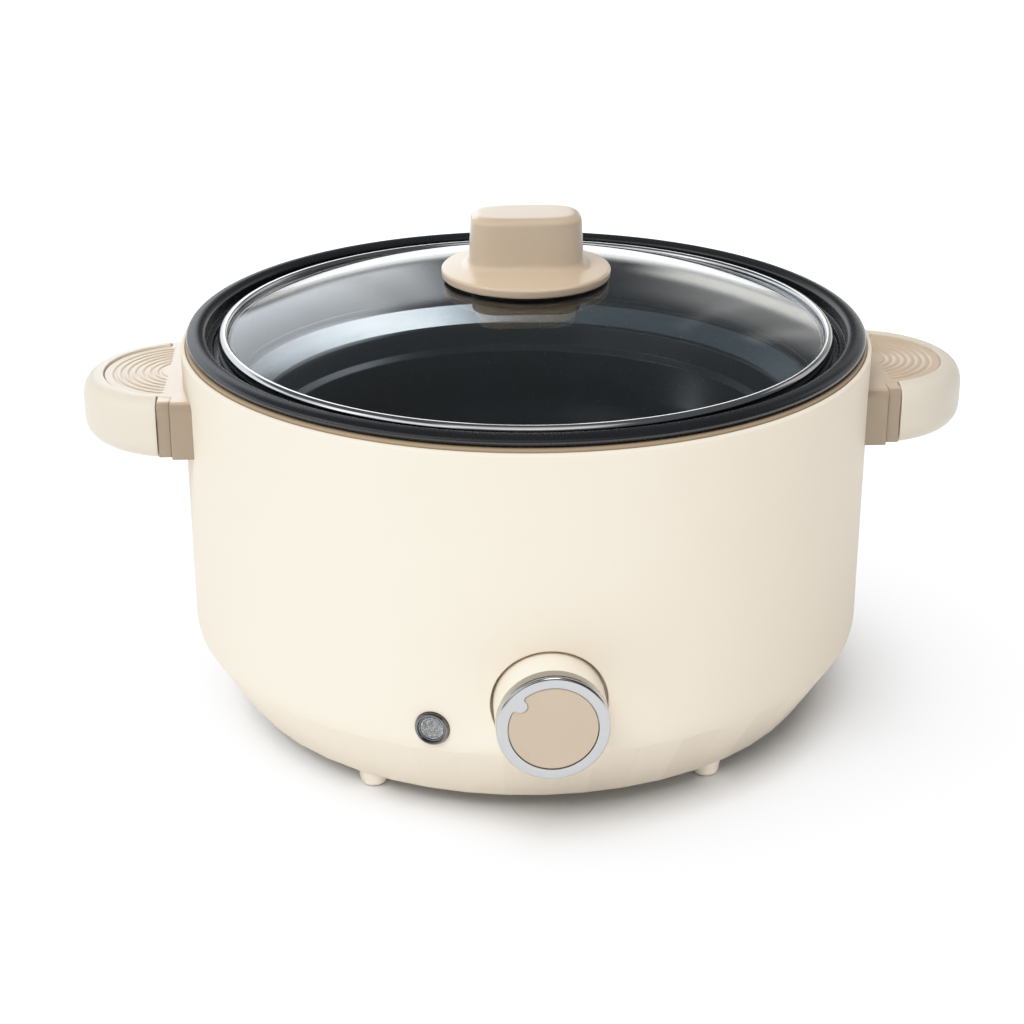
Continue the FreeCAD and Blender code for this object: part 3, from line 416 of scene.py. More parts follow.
def pan_coat(name):
    """Charcoal non-stick coating: satin, orange-peel texture, tiny mineral flecks."""
    m, nt, p, out = new_mat(name)
    v = coords(nt)
    vor = nt.nodes.new("ShaderNodeTexVoronoi")
    vor.inputs["Scale"].default_value = 900.0
    nt.links.new(v, vor.inputs["Vector"])
    size = noise(nt, v, 260.0, 2.0)
    fleck = mathn(nt, "LESS_THAN", vor.outputs["Distance"], 0.16)
    some = mathn(nt, "GREATER_THAN", size, 0.60)
    f = mathn(nt, "MULTIPLY", fleck, some)
    broad = noise(nt, v, 20.0, 3.0)
    base = ramp(nt, broad, [(0.3, lin(55, 64, 70)), (0.7, lin(61, 70, 76))])
    mix = nt.nodes.new("ShaderNodeMix")
    mix.data_type = "RGBA"
    nt.links.new(f, mix.inputs["Factor"])
    nt.links.new(base, mix.inputs["A"])
    mix.inputs["B"].default_value = (*lin(118, 124, 130), 1)
    nt.links.new(mix.outputs["Result"], p.inputs["Base Color"])
    peel = noise(nt, v, 1700.0, 2.0, 0.6)
    nt.links.new(remap(nt, peel, 0.3, 0.7, 0.26, 0.36), p.inputs["Roughness"])
    h = mathn(nt, "ADD", mathn(nt, "MULTIPLY", peel, 1.0), mathn(nt, "MULTIPLY", f, 0.6))
    nt.links.new(bump(nt, h, 0.14, 0.0001), p.inputs["Normal"])
    # the floor is less shiny than the wall; painted light and shade: the base colour is set darker at the floor and
    # lighter up the wall
    s = nt.nodes.new("ShaderNodeSeparateXYZ")
    nt.links.new(v, s.inputs[0])
    nt.links.new(remap(nt, s.outputs[2], 0.066, 0.104, 0.16, 0.42), p.inputs["Specular IOR Level"])
    painted_depth_shade = nt.nodes.new("ShaderNodeVectorMath")
    painted_depth_shade.operation = "SCALE"
    nt.links.new(mix.outputs["Result"], painted_depth_shade.inputs[0])
    nt.links.new(remap(nt, s.outputs[2], 0.066, 0.104, 0.98, 1.35), painted_depth_shade.inputs["Scale"])
    nt.links.new(painted_depth_shade.outputs[0], p.inputs["Base Color"])
    return m


def bead_coat(name):
    m, nt, p, out = new_mat(name)
    v = coords(nt)
    broad = noise(nt, v, 24.0, 3.0)
    nt.links.new(ramp(nt, broad, [(0.3, lin(22, 24, 27)), (0.7, lin(27, 29, 32))]), p.inputs["Base Color"])
    peel = noise(nt, v, 1700.0, 2.0, 0.5)
    nt.links.new(remap(nt, peel, 0.3, 0.7, 0.24, 0.30), p.inputs["Roughness"])
    nt.links.new(bump(nt, peel, 0.035, 0.0001), p.inputs["Normal"])
    p.inputs["Specular IOR Level"].default_value = 0.6
    return m


def glass(name, tint, rough=0.0, ior=1.48):
    """Clear glass; lamps see it as clear so that what is under it is lit. Faint streaks of cleaning haze in its gloss."""
    m, nt, p, out = new_mat(name)
    v = coords(nt)
    p.inputs["Base Color"].default_value = (*tint, 1)
    p.inputs["Transmission Weight"].default_value = 1.0
    p.inputs["IOR"].default_value = ior
    haze = noise(nt, v, 30.0, 4.0, 0.6, 0.8)
    nt.links.new(remap(nt, haze, 0.35, 0.75, rough, rough + 0.02), p.inputs["Roughness"])
    tr = nt.nodes.new("ShaderNodeBsdfTransparent")
    tr.inputs[0].default_value = (0.93, 0.95, 0.95, 1)
    lp = nt.nodes.new("ShaderNodeLightPath")
    mx = nt.nodes.new("ShaderNodeMixShader")
    nt.links.new(lp.outputs["Is Shadow Ray"], mx.inputs[0])
    nt.links.new(p.outputs[0], mx.inputs[1])
    nt.links.new(tr.outputs[0], mx.inputs[2])
    nt.links.new(mx.outputs[0], out.inputs[0])
    return m


M["pan"] = pan_coat("non_stick_coating")
M["bead"] = bead_coat("rim_black_coating")
M["glass"] = glass("lid_glass_clear", (0.93, 0.965, 0.965))
M["lampglass"] = glass("lamp_glass", (1.0, 0.75, 0.5), 0.02)


def setmat(ob, *keys):
    ob.data.materials.clear()
    for k in keys:
        ob.data.materials.append(M[k])
    return ob


def piece(ob, body, slot, *replaced):
    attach(ob, body)
    if replaced:
        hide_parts(*replaced)
    return ob


# ------------------------------------------------------------------ outer shell
turn = math.radians(CORNER_DEG)
ARC_Z = FTOP_Z + CORNER_R * math.sin(turn)          # where the wall ends and the rounding starts
ARC_C = SHELL_BOT - CORNER_R
SLOPE = (FTOP_R - BAND_R) / (FTOP_Z - BAND_Z)
STEP = TAU / FACETS


def turned(z):
    if z >= ARC_Z:
        return SHELL_BOT + (SHELL_TOP - SHELL_BOT) * (z - ARC_Z) / (LIP_Z - ARC_Z)
    if z >= FTOP_Z:
        return ARC_C + math.sqrt(CORNER_R ** 2 - (ARC_Z - z) ** 2)
    return ARC_C + CORNER_R * math.cos(turn) - math.tan(turn) * (FTOP_Z - z)


def facet(t, z):
    a = (t % STEP) - STEP / 2
    return (BAND_R + SLOPE * (z - BAND_Z)) / math.cos(a)


def surf(t, z):
    return min(turned(z), facet(t, z))


def crease(t):
    lo, hi = 30.0, 38.0
    for _ in range(40):
        m = (lo + hi) / 2
        if facet(t, m) > turned(m):
            hi = m
        else:
            lo = m
    return (lo + hi) / 2


def shell_piece():
    N = 600
    V, F, sharp = [], [], set()
    th = [TAU * k / N for k in range(N)]
    cz = [crease(t) for t in th]
    rows = []                      # lists of N vertex indices, or None where a patch takes over

    def add(p):
        V.append(p)
        return len(V) - 1

    # lip, from the ledge under the seal to the wall
    lip = outline([(134.3, 149.45), (135.7, 149.45), (135.7, LIP_Z, 0.35), (SHELL_TOP, LIP_Z, 1.3), (SHELL_TOP, 147.0)], False, 0.25)[:-1]
    for r, z in lip:
        rows.append([add(axis_z(r, z, t)) for t in th])
    zs = [148.5, 146, 142, 136, 128, 120, 112, 104, 96, 90, 86, 84, 82, 80, 78, 76, 74, 72, 70, 68, 66, 64, 62, 60, 58.5, 56.5, 54.5,
          52.5, 51.25, 50, 48.5, 47, 45.5, 44, 42.5, 41, 39.5, 38, 36.5, 35.25, "crease", 32.6, 31.3, 30.0, 26, 20, 14, 10, 8.6]
    first = len(rows)
    crease_row = first + zs.index("crease")
    for z in zs:
        rows.append([add(axis_z(surf(t, cz[k] if z == "crease" else z), cz[k] if z == "crease" else z, t)) for k, t in enumerate(th)])
    at = {z: first + i for i, z in enumerate(zs)}
    for dz, dr in ((-0.35, -0.28), (-0.7, -0.68), (-1.0, -1.2), (-1.2, -1.75)):
        rows.append([add(axis_z(facet(t, 8.6) + dr, 8.6 + dz, t)) for t in th])
    under = [(117.9, FOOT_H), (117.9, 12.5), (127.0, 26.0), (128.5, 34.0)]
    inner_z = [z for z in zs if z != "crease" and 38 <= z <= 80][::-1]
    inner = under + [(128.5, z) for z in inner_z] + [(135.0, 88.0), (135.0, 146.8), (134.4, 148.2)]
    start_inner = len(rows)
    for r, z in inner:
        rows.append([add(axis_z(r, z, t)) for t in th])
    in_at = {z: start_inner + len(under) + i for i, z in enumerate(inner_z)}

    # regions left out of the grid: columns j0..j1, rows i0..i1
    well_cols, well_rows = (-18, 18), (at[82], at[30.0])
    lamp_cols, lamp_rows = (-40, -20), (at[52.5], at[35.25])
    back_cols, back_rows = (290, 310), (at[58.5], at[38])
    back_in = (in_at[38], in_at[58.5])
    skips = [(well_cols, well_rows), (lamp_cols, lamp_rows), (back_cols, back_rows), (back_cols, back_in)]

    def skipped(i, k):
        for (c0, c1), (r0, r1) in skips:
            if r0 <= i < r1 and any(c0 <= kk < c1 for kk in (k, k - N)):
                return True
        return False
    m = len(rows)
    for i in range(m):
        a, b = rows[i], rows[(i + 1) % m]
        for k in range(N):
            if not skipped(i, k):
                F.append([a[k], a[(k + 1) % N], b[(k + 1) % N], b[k]])

    # crisp lines: the crease and the facets' shared edges
    for k in range(N):
        sharp.add((rows[crease_row][k], rows[crease_row][(k + 1) % N]))
        if k % (N // FACETS) == 0:
            for i in range(crease_row, at[8.6]):
                sharp.add((rows[i][k], rows[i + 1][k]))

    def border(cols, rws):
        c0, c1 = cols
        r0, r1 = rws
        loop = [(r1, k) for k in range(c0, c1)] + [(i, c1) for i in range(r1, r0, -1)] + [(r0, k) for k in range(c1, c0, -1)] + [(i, c0) for i in range(r0, r1)]
        return [rows[i][k % N] for i, k in loop]

    def patch(cols, rws, az, zc, hole, lip_r, floor, rings):
        """A round recess in the wall: rings run from the grid's border to the hole, then into it."""
        loop = border(cols, rws)
        ca, sa = math.cos(az), math.sin(az)

        def local(p):
            return (p[0] * ca + p[1] * sa, p[2], p[0] * sa - p[1] * ca)

        def place(u, z, s):
            return (u * ca + s * sa, u * sa - s * ca, z)

        def depth(u, z):
            s = 137.0
            for _ in range(6):
                t = az + math.atan2(u, s)
                r = surf(t, z)
                s = math.sqrt(max(1.0, r * r - u * u))
            return s
        flat = [local(V[i]) for i in loop]
        ang = [math.atan2(p[1] - zc, p[0]) for p in flat]
        prev = loop
        n = len(loop)
        for q in range(1, rings + 1):
            f = (q / rings) ** 0.8
            cur = []
            for p, a in zip(flat, ang):
                e = hole + lip_r
                u = p[0] + (e * math.cos(a) - p[0]) * f
                z = p[1] + (zc + e * math.sin(a) - p[1]) * f
                cur.append(add(place(u, z, depth(u, z))))
            for k in range(n):
                F.append([prev[k], prev[(k + 1) % n], cur[(k + 1) % n], cur[k]])
            prev = cur
        for q in range(1, 6):
            ph = math.pi / 2 * q / 5
            rad = hole + lip_r * (1 - math.sin(ph))
            cur = []
            for a in ang:
                u, z = rad * math.cos(a), zc + rad * math.sin(a)
                u0, z0 = (hole + lip_r) * math.cos(a), zc + (hole + lip_r) * math.sin(a)
                cur.append(add(place(u, z, depth(u0, z0) - lip_r * (1 - math.cos(ph)))))
            for k in range(n):
                F.append([prev[k], prev[(k + 1) % n], cur[(k + 1) % n], cur[k]])
            prev = cur
        for rad, s in ((hole, floor + 0.6), (hole - 0.25, floor + 0.15), (hole - 0.8, floor), (hole * 0.5, floor)):
            cur = [add(place(rad * math.cos(a), zc + rad * math.sin(a), s)) for a in ang]
            for k in range(n):
                F.append([prev[k], prev[(k + 1) % n], cur[(k + 1) % n], cur[k]])
            prev = cur
        mid = add(place(0, zc, floor))
        for k in range(n):
            F.append([prev[k], prev[(k + 1) % n], mid])

    patch(well_cols, well_rows, 0.0, KNOB_Z, WELL_R, 0.45, WELL_Y, 12)
    patch(lamp_cols, lamp_rows, LAMP_AZ, LAMP_Z, LAMP_R + 0.08, 0.22, 135.2, 8)

    # opening for the inlet: join the outer and inner borders
    a = border(back_cols, back_rows)
    c0, c1 = back_cols
    r0, r1 = back_in
    loop = [(r0, k) for k in range(c0, c1)] + [(i, c1) for i in range(r0, r1)] + [(r1, k) for k in range(c1, c0, -1)] + [(i, c0) for i in range(r1, r0, -1)]
    b = [rows[i][k % N] for i, k in loop]
    n = len(a)
    for k in range(n):
        F.append([a[k], a[(k + 1) % n], b[(k + 1) % n], b[k]])
    ob = make_keep("outer_shell_visual", V, F, sharp, 32.0)
    return ob


def make_keep(name, verts, faces, sharp, angle):
    """As make, but edges in sharp (pairs of vertex indices) stay crisp."""
    me = bpy.data.meshes.new(name)
    me.from_pydata([(v[0] * MM, v[1] * MM, v[2] * MM) for v in verts], [], faces)
    bm = bmesh.new()
    bm.from_mesh(me)
    bmesh.ops.recalc_face_normals(bm, faces=bm.faces)
    bm.to_mesh(me)
    bm.free()
    me.polygons.foreach_set("use_smooth", [True] * len(me.polygons))
    me.set_sharp_from_angle(angle=math.radians(angle))
    keys = {tuple(sorted(p)) for p in sharp}
    for e in me.edges:
        if tuple(sorted(e.vertices)) in keys:
            e.use_edge_sharp = True
    ob = bpy.data.objects.new(name, me)
    bpy.context.scene.collection.objects.link(ob)
    return ob


shell = setmat(shell_piece(), "shell")
piece(shell, "pot", "shell_cream", "outer_shell")


# flat pad round the rear inlet
def pad_piece():
    n = 96
    zc = 48.0

    def ring(l, w, c, y):
        return [(rr_radius(TAU * k / n, l, w, c) * math.sin(TAU * k / n), y, zc - rr_radius(TAU * k / n, l, w, c) * math.cos(TAU * k / n)) for k in range(n)]
    rings = [ring(54, 29, 5, 133.6), ring(54, 29, 5, 138.3), ring(53.7, 28.7, 4.9, 138.65), ring(53.2, 28.2, 4.6, 138.8),
             ring(28.6, 20.6, 1.0, 138.8), ring(28.6, 20.6, 1.0, 133.6)]
    V, F, rows = [], [], []
    for r in rings:
        rows.append(list(range(len(V), len(V) + n)))
        V += r
    for i in range(len(rows)):
        a, b = rows[i], rows[(i + 1) % len(rows)]
        for k in range(n):
            F.append([a[k], a[(k + 1) % n], b[(k + 1) % n], b[k]])
    return make("inlet_pad", V, F)


piece(setmat(pad_piece(), "shell"), "pot", "shell_cream")

# ------------------------------------------------------------------ seal ring and inner pan
seal = lathe("rim_seal_visual", outline([(129.4, 152.9, 0.5), (135.5, 152.9, 0.9), (135.5, 149.4), (134.4, 149.4), (134.4, 143.2, 0.6), (132.0, 143.2, 0.6), (132.0, 149.0, 1.0), (129.4, 149.6, 0.4)], True, 0.2), 288)
piece(setmat(seal, "seal"), "pot", "seal_taupe", "rim_seal_ring")


def pan_piece():
    inner = outline([(0, 62.0), (98.5, 62.0, 34.0), (102.3, 109.6, 1.6), (104.6, 112.0, 1.4), (106.8, 120.6, 2.2), (107.9, 121.642), (115.3, 128.653), (116.3, 129.6, 1.2), (116.5, 131.6, 0.4), (117.0, 132.0, 0.4),
                     (117.4, 148.8, 1.6), (124.7, 148.8, 0.6), (124.9, 150.9, 0.5), (127.5, 151.0, 0.5), (127.42, 154.9)], False, 0.4)
    ell = [(131.2 - 3.8 * math.cos(a), 155.0 + 2.1 * math.sin(a)) for a in [math.pi * k / 40 for k in range(0, 61)]]
    ell = [(r, z) for r, z in ell if not (z < 154.9 and r < 129.3)]
    outer = outline([(129.1, 153.0), (129.0, 149.6, 0.8), (126.6, 146.2, 2.0), (119.6, 146.2, 1.0), (118.9, 125.2, 4.0), (110.4, 116.8, 4.0), (107.6, 108.0, 4.0), (101.4, 58.0, 26.4), (0, 58.0)], False, 1.2)
    prof = inner + ell + outer

    def cut(a, b):
        """Indices of the profile's points nearest to two places on it."""
        return [min(range(len(prof)), key=lambda q: math.hypot(prof[q][0] - r, prof[q][1] - z)) for r, z in (a, b)]
    s0, s1 = cut((107.9, 121.6), (115.3, 128.7))
    b0, b1 = cut((117.5, 148.8), (126.6, 146.2))
    out = []
    for name, parts, key in (("inner_pan_visual", [(0, s0), (s1, b0), (b1, len(prof) - 1)], "pan"), ("inner_pan_step", [(s0, s1)], "pan"), ("inner_pan_rim", [(b0, b1)], "bead")):
        V, F = merge([lathe_data(prof[a:b + 1], 320, axis_z, False) for a, b in parts])
        out.append(setmat(make(name, V, F, angle=30.0), key))
    return out


pan_ob, step_ob, rim_ob = pan_piece()
piece(pan_ob, "pot", "pan_coating", "inner_pan")
piece(step_ob, "pot", "pan_coating")
piece(rim_ob, "pot", "pan_coating")

# ------------------------------------------------------------------ feet
foot = outline([(0, 0.02), (4.9, 0.02, 2.1), (5.75, 5.6), (6.6, 7.9), (0, 7.9)], False, 0.3)
parts = []
for az in (35, -35, 145, 215):
    a = math.radians(az)
    fx, fy = 112.5 * math.sin(a), -112.5 * math.cos(a)
    v, f = lathe_data(foot, 48)
    parts.append(([(x + fx, y + fy, z) for x, y, z in v], f))
V, F = merge(parts)
piece(setmat(make("feet_visual", V, F), "cream"), "pot", "foot_cream", "feet")


# ------------------------------------------------------------------ handles
def cover_piece(side):
    """Ivory grip: a soft section carried round the half disc and squared off at the gap."""
    sec = [(HIN, 116.3), (HIN, 137.4), (HIN + 0.15, 138.15), (HIN + 0.6, HTOP - 0.02), (HIN + 1.3, HTOP)]
    a0, b0 = HR - HIN - 1.3, 9.2
    for k in range(1, 19):
        t = math.pi / 2 * k / 18
        e = 2 / 2.3
        sec.append((HIN + 1.3 + a0 * math.sin(t) ** e, HTOP - b0 + b0 * max(0.0, math.cos(t)) ** e))
    a1, b1 = 7.6, 8.2
    sec.append((HR, 127.0))
    for k in range(0, 19):
        t = math.pi / 2 * k / 18
        e = 2 / 2.15
        sec.append((HR - a1 + a1 * max(0.0, math.cos(t)) ** e, HBOT + b1 - b1 * math.sin(t) ** e))
    sec.append((HIN + 0.9, HBOT))
    sec.append((HIN + 0.35, HBOT + 0.15))
    n = 96
    V, F, rows = [], [], []
    off = COVER_X - HCX
    edge = 0.35

    fs = [-1 + 2 * k / n for k in range(n + 1)]
    for f in fs:
        rows.append(list(range(len(V), len(V) + len(sec))))
        for r, z in sec:
            amax = math.acos((off + edge) / r)
            a = f * amax
            V.append((-(HCX + r * math.cos(a)), r * math.sin(a), z))
    m = len(sec)
    for i in range(len(rows) - 1):
        for k in range(m):
            F.append([rows[i][k], rows[i][(k + 1) % m], rows[i + 1][(k + 1) % m], rows[i + 1][k]])
    # rounded end faces at the gap
    for row, sy in ((rows[0], -1), (rows[-1], 1)):
        prev = row
        pts = [V[i] for i in row]
        cy = sum(p[1] for p in pts) / m
        cz = sum(p[2] for p in pts) / m
        for q in range(1, 5):
            ph = math.pi / 2 * q / 4
            ins, fwd = edge * (1 - math.cos(ph)), edge * math.sin(ph)
            cur = []
            for x, y, z in pts:
                d = math.hypot(y - cy, z - cz)
                cur.append(len(V))
                V.append((-(HCX + off + edge - fwd), y + (cy - y) / d * ins, z + (cz - z) / d * ins))
            for k in range(m):
                F.append([prev[k], prev[(k + 1) % m], cur[(k + 1) % m], cur[k]])
            prev = cur
        V.append((-(HCX + off), cy, cz))
        for k in range(m):
            F.append([prev[k], prev[(k + 1) % m], len(V) - 1])
    if side == "right":
        V = [(-x, -y, z) for x, y, z in V]
    return make(side + "_cover_visual", V, F, angle=40.0)


def sideblock(sy, y1, z0, z1, top_r, bot_r, x0, x1, edge):
    """Block beside the grip: outer top and bottom edges rounded, outer end face with a small round edge."""
    y0 = 27.0
    pts = outline([(y0, z0), (y1, z0, bot_r), (y1, z1, top_r), (y0, z1)], True, 0.3)
    m = len(pts)
    cy, cz = (y0 + y1) / 2, (z0 + z1) / 2

    def row(x, ins):
        out = []
        for y, z in pts:
            yy = max(y0, min(y, y1 - ins)) if y > cy else y
            zz = max(z0 + ins, min(z, z1 - ins))
            out.append((x, sy * yy, zz))
        return out
    rings = [row(x1, 0.0), row(x0 + edge, 0.0)]
    for q in range(1, 5):
        ph = math.pi / 2 * q / 4
        rings.append(row(x0 + edge * (1 - math.sin(ph)), edge * (1 - math.cos(ph))))
    return loft(rings, m)


def core_piece(side):
    top = HTOP - 0.75

    def height(r, x):
        """Grooved top: concentric arcs that fade out near the wall."""
        h = 0.0
        fade = min(1.0, max(0.0, (x - 142.6) / 1.2))
        fade = fade * fade * (3 - 2 * fade)
        for g in range(7):
            d = abs(r - (10.3 + 2.95 * g))
            if d < 1.15:
                h -= 0.30 * math.cos(math.pi / 2 * d / 1.15) ** 1.4
        return h * fade
    V, F = [], []
    nr, na = 128, 200
    R = HIN - 0.12
    edge = 0.3
    rows = []
    for i in range(nr + 1):
        r = (R - edge) * i / nr
        row = []
        for k in range(na + 1):
            a = math.pi * (k / na - 0.5)
            x, y = HCX + r * math.cos(a), r * math.sin(a)
            row.append(len(V))
            V.append((-x, y, top + height(r, x)))
        rows.append(row)
    # rounded rim, then the side down to the underside
    for q in range(1, 5):
        ph = math.pi / 2 * q / 4
        r = R - edge * (1 - math.sin(ph))
        z = top - edge * (1 - math.cos(ph))
        rows.append([len(V) + k for k in range(na + 1)])
        V += [(-(HCX + r * math.cos(math.pi * (k / na - 0.5))), r * math.sin(math.pi * (k / na - 0.5)), z) for k in range(na + 1)]
    for z in (130.0, HBOT + 0.4):
        rows.append([len(V) + k for k in range(na + 1)])
        V += [(-(HCX + R * math.cos(math.pi * (k / na - 0.5))), R * math.sin(math.pi * (k / na - 0.5)), z) for k in range(na + 1)]
    # flat underside with a finger pocket
    PR, PX, PZ = 24.0, 140.0, 128.5
    for r, z in ((R - 0.4, HBOT), (29.0, HBOT)):
        rows.append([len(V) + k for k in range(na + 1)])
        V += [(-(HCX + r * math.cos(math.pi * (k / na - 0.5))), r * math.sin(math.pi * (k / na - 0.5)), z) for k in range(na + 1)]
    pocket = [(24.4, HBOT), (24.1, HBOT + 0.12), (24.0, HBOT + 0.4), (24.0, 125.5), (23.6, 127.1), (22.6, 128.1), (21.0, 128.5), (10.0, 128.5), (0.0, 128.5)]
    for r, z in pocket:
        rows.append([len(V) + k for k in range(na + 1)])
        for k in range(na + 1):
            t = k / na - 0.5
            lim = math.acos(min(1.0, 1.2 / max(r, 1.2)))
            a = 2 * t * lim
            V.append((-(PX + max(r * math.cos(a), 1.2)), r * math.sin(a), z))
    for i in range(len(rows) - 1):
        for k in range(na):
            F.append([rows[i][k], rows[i][k + 1], rows[i + 1][k + 1], rows[i + 1][k]])
    # part next to the wall: top strip, flanks and underside, as a box that ends inside the wall
    xs = [HCX, 133.0, 129.0]
    body = []

    def strip(x0, x1, y0, y1, z0, z1):
        body.append(([(-x0, y0, z0), (-x1, y0, z0), (-x1, y1, z0), (-x0, y1, z0), (-x0, y0, z1), (-x1, y0, z1), (-x1, y1, z1), (-x0, y1, z1)],
                     [[0, 1, 2, 3], [4, 7, 6, 5], [0, 4, 5, 1], [1, 5, 6, 2], [2, 6, 7, 3], [3, 7, 4, 0]]))
    strip(HCX, 128.0, -R, R, HBOT, top)
    strip(141.2, HCX, -24.4, 24.4, HBOT, 130.0)
    parts = [(V, F)] + body
    for sy in (-1, 1):
        parts.append(sideblock(sy, HR, HBOT + 0.9, top + 0.02, 3.6, 1.0, -BLOCK_X, -127.0, 0.9))
        parts.append(sideblock(sy, HR - 1.7, HBOT + 1.4, top - 0.10, 3.2, 1.0, -(COVER_X - 0.3), -(BLOCK_X - 3), 0.45))
    V, F = merge(parts)
    if side == "right":
        V = [(-x, -y, z) for x, y, z in V]
    return make(side + "_core_visual", V, F, angle=38.0)


for side in ("left", "right"):
    piece(setmat(cover_piece(side), "handlecream"), "pot", "handle_cream", side + "_handle_cover")
    piece(setmat(core_piece(side), "handlecore"), "pot", "handle_taupe", side + "_handle_core")

# ------------------------------------------------------------------ lid
def sphere_z(R, r):
    return ZC + math.sqrt(R * R - r * r)


top_arc = [(r, sphere_z(GLASS_R, r)) for r in [4.0] + [121.3 * (k / 60) for k in range(3, 61)]]
bot_arc = [(r, sphere_z(GLASS_R - GLASS_T, r)) for r in [121.3 * (k / 60) for k in range(60, 2, -1)] + [4.0]]
lidglass = lathe("lid_glass_visual", top_arc + bot_arc, 256)
piece(setmat(lidglass, "glass"), "lid", "lid_glass", "lid_glass")
band = lathe("lid_band_visual", outline([(118.7, 148.8, 0.3), (122.5, 148.8, 0.9), (122.5, 156.3, 2.1), (118.7, 156.3, 1.5)], True, 0.16), 288)
piece(setmat(band, "lidsteel"), "lid", "lid_steel", "lid_band")


def lidknob_piece():
    n = 192
    th = [TAU * k / n for k in range(n)]
    gl, gw = 45.0, 28.4
    R = 33.7

    def circ(r, z):
        return [axis_z(r, z, t) for t in th]

    def plan(t, d=0.0):
        """Soft rectangle: a superellipse, d mm inside the grip's outline."""
        a, b, e = gl / 2 - d, gw / 2 - d, 3.2
        return (abs(math.sin(t) / a) ** e + abs(math.cos(t) / b) ** e) ** (-1 / e)
    rings = [circ(4.2, 176.0), circ(28.0, 175.3), circ(31.8, 175.1)]
    rim = outline([(31.8, 175.1), (R - 0.35, 175.1, 0.7), (R, 178.8, 1.1), (28.0, 179.35)], False, 0.2)
    for r, z in rim[1:-1]:
        rings.append(circ(r, z))
    # flange top rises to the grip and turns up through a hollow fillet
    for k in range(1, 15):
        f = k / 14
        ring = []
        for t in th:
            g = plan(t) + 2.8
            r = (R - 1.9) + (g - (R - 1.9)) * f
            z = 178.75 + (R - r) * 0.125
            ring.append(axis_z(r, z, t))
        rings.append(ring)
    for k in range(1, 11):
        ph = math.pi / 2 * k / 10
        ring = []
        for t in th:
            g0 = plan(t)
            z0 = 178.75 + (R - (g0 + 2.8)) * 0.125
            r = g0 + 2.8 * (1 - math.sin(ph))
            z = z0 + 2.8 * (1 - math.cos(ph)) + 0.2 * f
            ring.append(axis_z(r, z, t))
        rings.append(ring)
    top = 201.0
    for k in range(1, 5):
        f = k / 4
        rings.append([axis_z(plan(t, 0.6 * f), 184.2 + (top - 3.1 - 184.2) * f, t) for t in th])
    # wide rounding that stops short of level, so that the top face keeps a fine edge
    stop = math.radians(62)
    for k in range(1, 13):
        ph = stop * k / 12
        d = 5.2 * (1 - math.cos(ph))
        rings.append([axis_z(plan(t, 0.6 + d), top - 3.1 + 2.85 * math.sin(ph) / math.sin(stop), t) for t in th])
    d = 0.6 + 5.2 * (1 - math.cos(stop))
    rings.append([axis_z(plan(t, d + 0.25), top - 0.17, t) for t in th])
    for k in range(1, 8):
        f = 1 - k / 8
        rings.append([axis_z(plan(t, d + 0.25) * f, top - 0.17 + 0.17 * (1 - f * f), t) for t in th])
    V, F = loft(rings, n)
    return make("lid_knob_visual", V, F, angle=40.0)


piece(setmat(lidknob_piece(), "lidknob"), "lid", "lid_knob_beige", "lid_knob")
sealring = lathe("lid_knob_seal_visual", [(4.2, sphere_z(GLASS_R, 4.2) + 0.02), (20, sphere_z(GLASS_R, 20) + 0.02), (31.9, sphere_z(GLASS_R, 31.9) + 0.02), (32.6, sphere_z(GLASS_R, 32.6) + 0.15), (32.6, 175.0), (32.2, 175.3), (4.2, 175.9)], 144)
piece(setmat(sealring, "rubber"), "lid", "seal_black", "lid_knob_seal")


def blockunder_piece():
    n = 160
    th = [TAU * k / n for k in range(n)]

    def ring(l, w, c, z):
        return [axis_z(rr_radius(t, l, w, c), z if z is not None else sphere_z(GLASS_R - GLASS_T, rr_radius(t, l, w, c)) - 0.05, t) for t in th]
    rings = [ring(43, 25, 10, None), ring(43, 25, 10, 166.4), ring(43, 25, 10, 162.4)]
    for k in range(1, 7):
        ph = math.pi / 2 * k / 6
        d = 1.6 * (1 - math.cos(ph))
        rings.append(ring(43 - 2 * d, 25 - 2 * d, 10 - d, 161.6 - 1.6 * math.sin(ph)))
    rings.append([axis_z(4.8, 160.0, t) for t in th])
    rings.append([axis_z(4.5, 160.3, t) for t in th])
    rings.append([axis_z(4.5, 165.4, t) for t in th])
    V, F = loft(rings, n)
    return make("lid_knob_block_visual", V, F, angle=40.0)


piece(setmat(blockunder_piece(), "block"), "lid", "block_taupe", "lid_knob_block")

# ------------------------------------------------------------------ control knob
R0 = KNOB_R
skirt = lathe("knob_skirt_visual", outline([(0, 150.5), (R0 - 0.3, 150.5), (R0 - 0.3, KNOB_RING - 0.1), (R0, KNOB_RING - 0.35, 0.25), (R0, KNOB_BACK, 0.6), (R0 - 2.2, KNOB_BACK), (R0 - 2.2, 147.2, 1.5), (6.2, 147.2, 1.0), (6.2, 140.0), (3.3, 140.0), (3.3, 146.0), (0, 146.0)], False, 0.25), 160, axis_knob)
piece(setmat(skirt, "cream"), "knob", "knob_cream", "knob_skirt")


TAB, TAB_C, TAB_R, TAB_F = math.radians(-51.5), 14.76, 2.4, 1.2       # pointer tab: direction, centre, radius, fillet
RING_IN = KNOB_R - 4.15


def inner_edge(t):
    """Inner edge of the ring's face: a circle with a round tab at the pointer, joined by hollow fillets."""
    a = abs((t - TAB + math.pi) % TAU - math.pi)
    D, c = RING_IN - TAB_F, TAB_R + TAB_F
    b = math.acos((D * D + TAB_C * TAB_C - c * c) / (2 * D * TAB_C))
    if a < math.asin(TAB_R / TAB_C):
        return TAB_C * math.cos(a) - math.sqrt(max(0.0, TAB_R ** 2 - (TAB_C * math.sin(a)) ** 2))
    if a < b:
        return D * math.cos(a - b) + math.sqrt(max(0.0, TAB_F ** 2 - (D * math.sin(a - b)) ** 2))
    return RING_IN


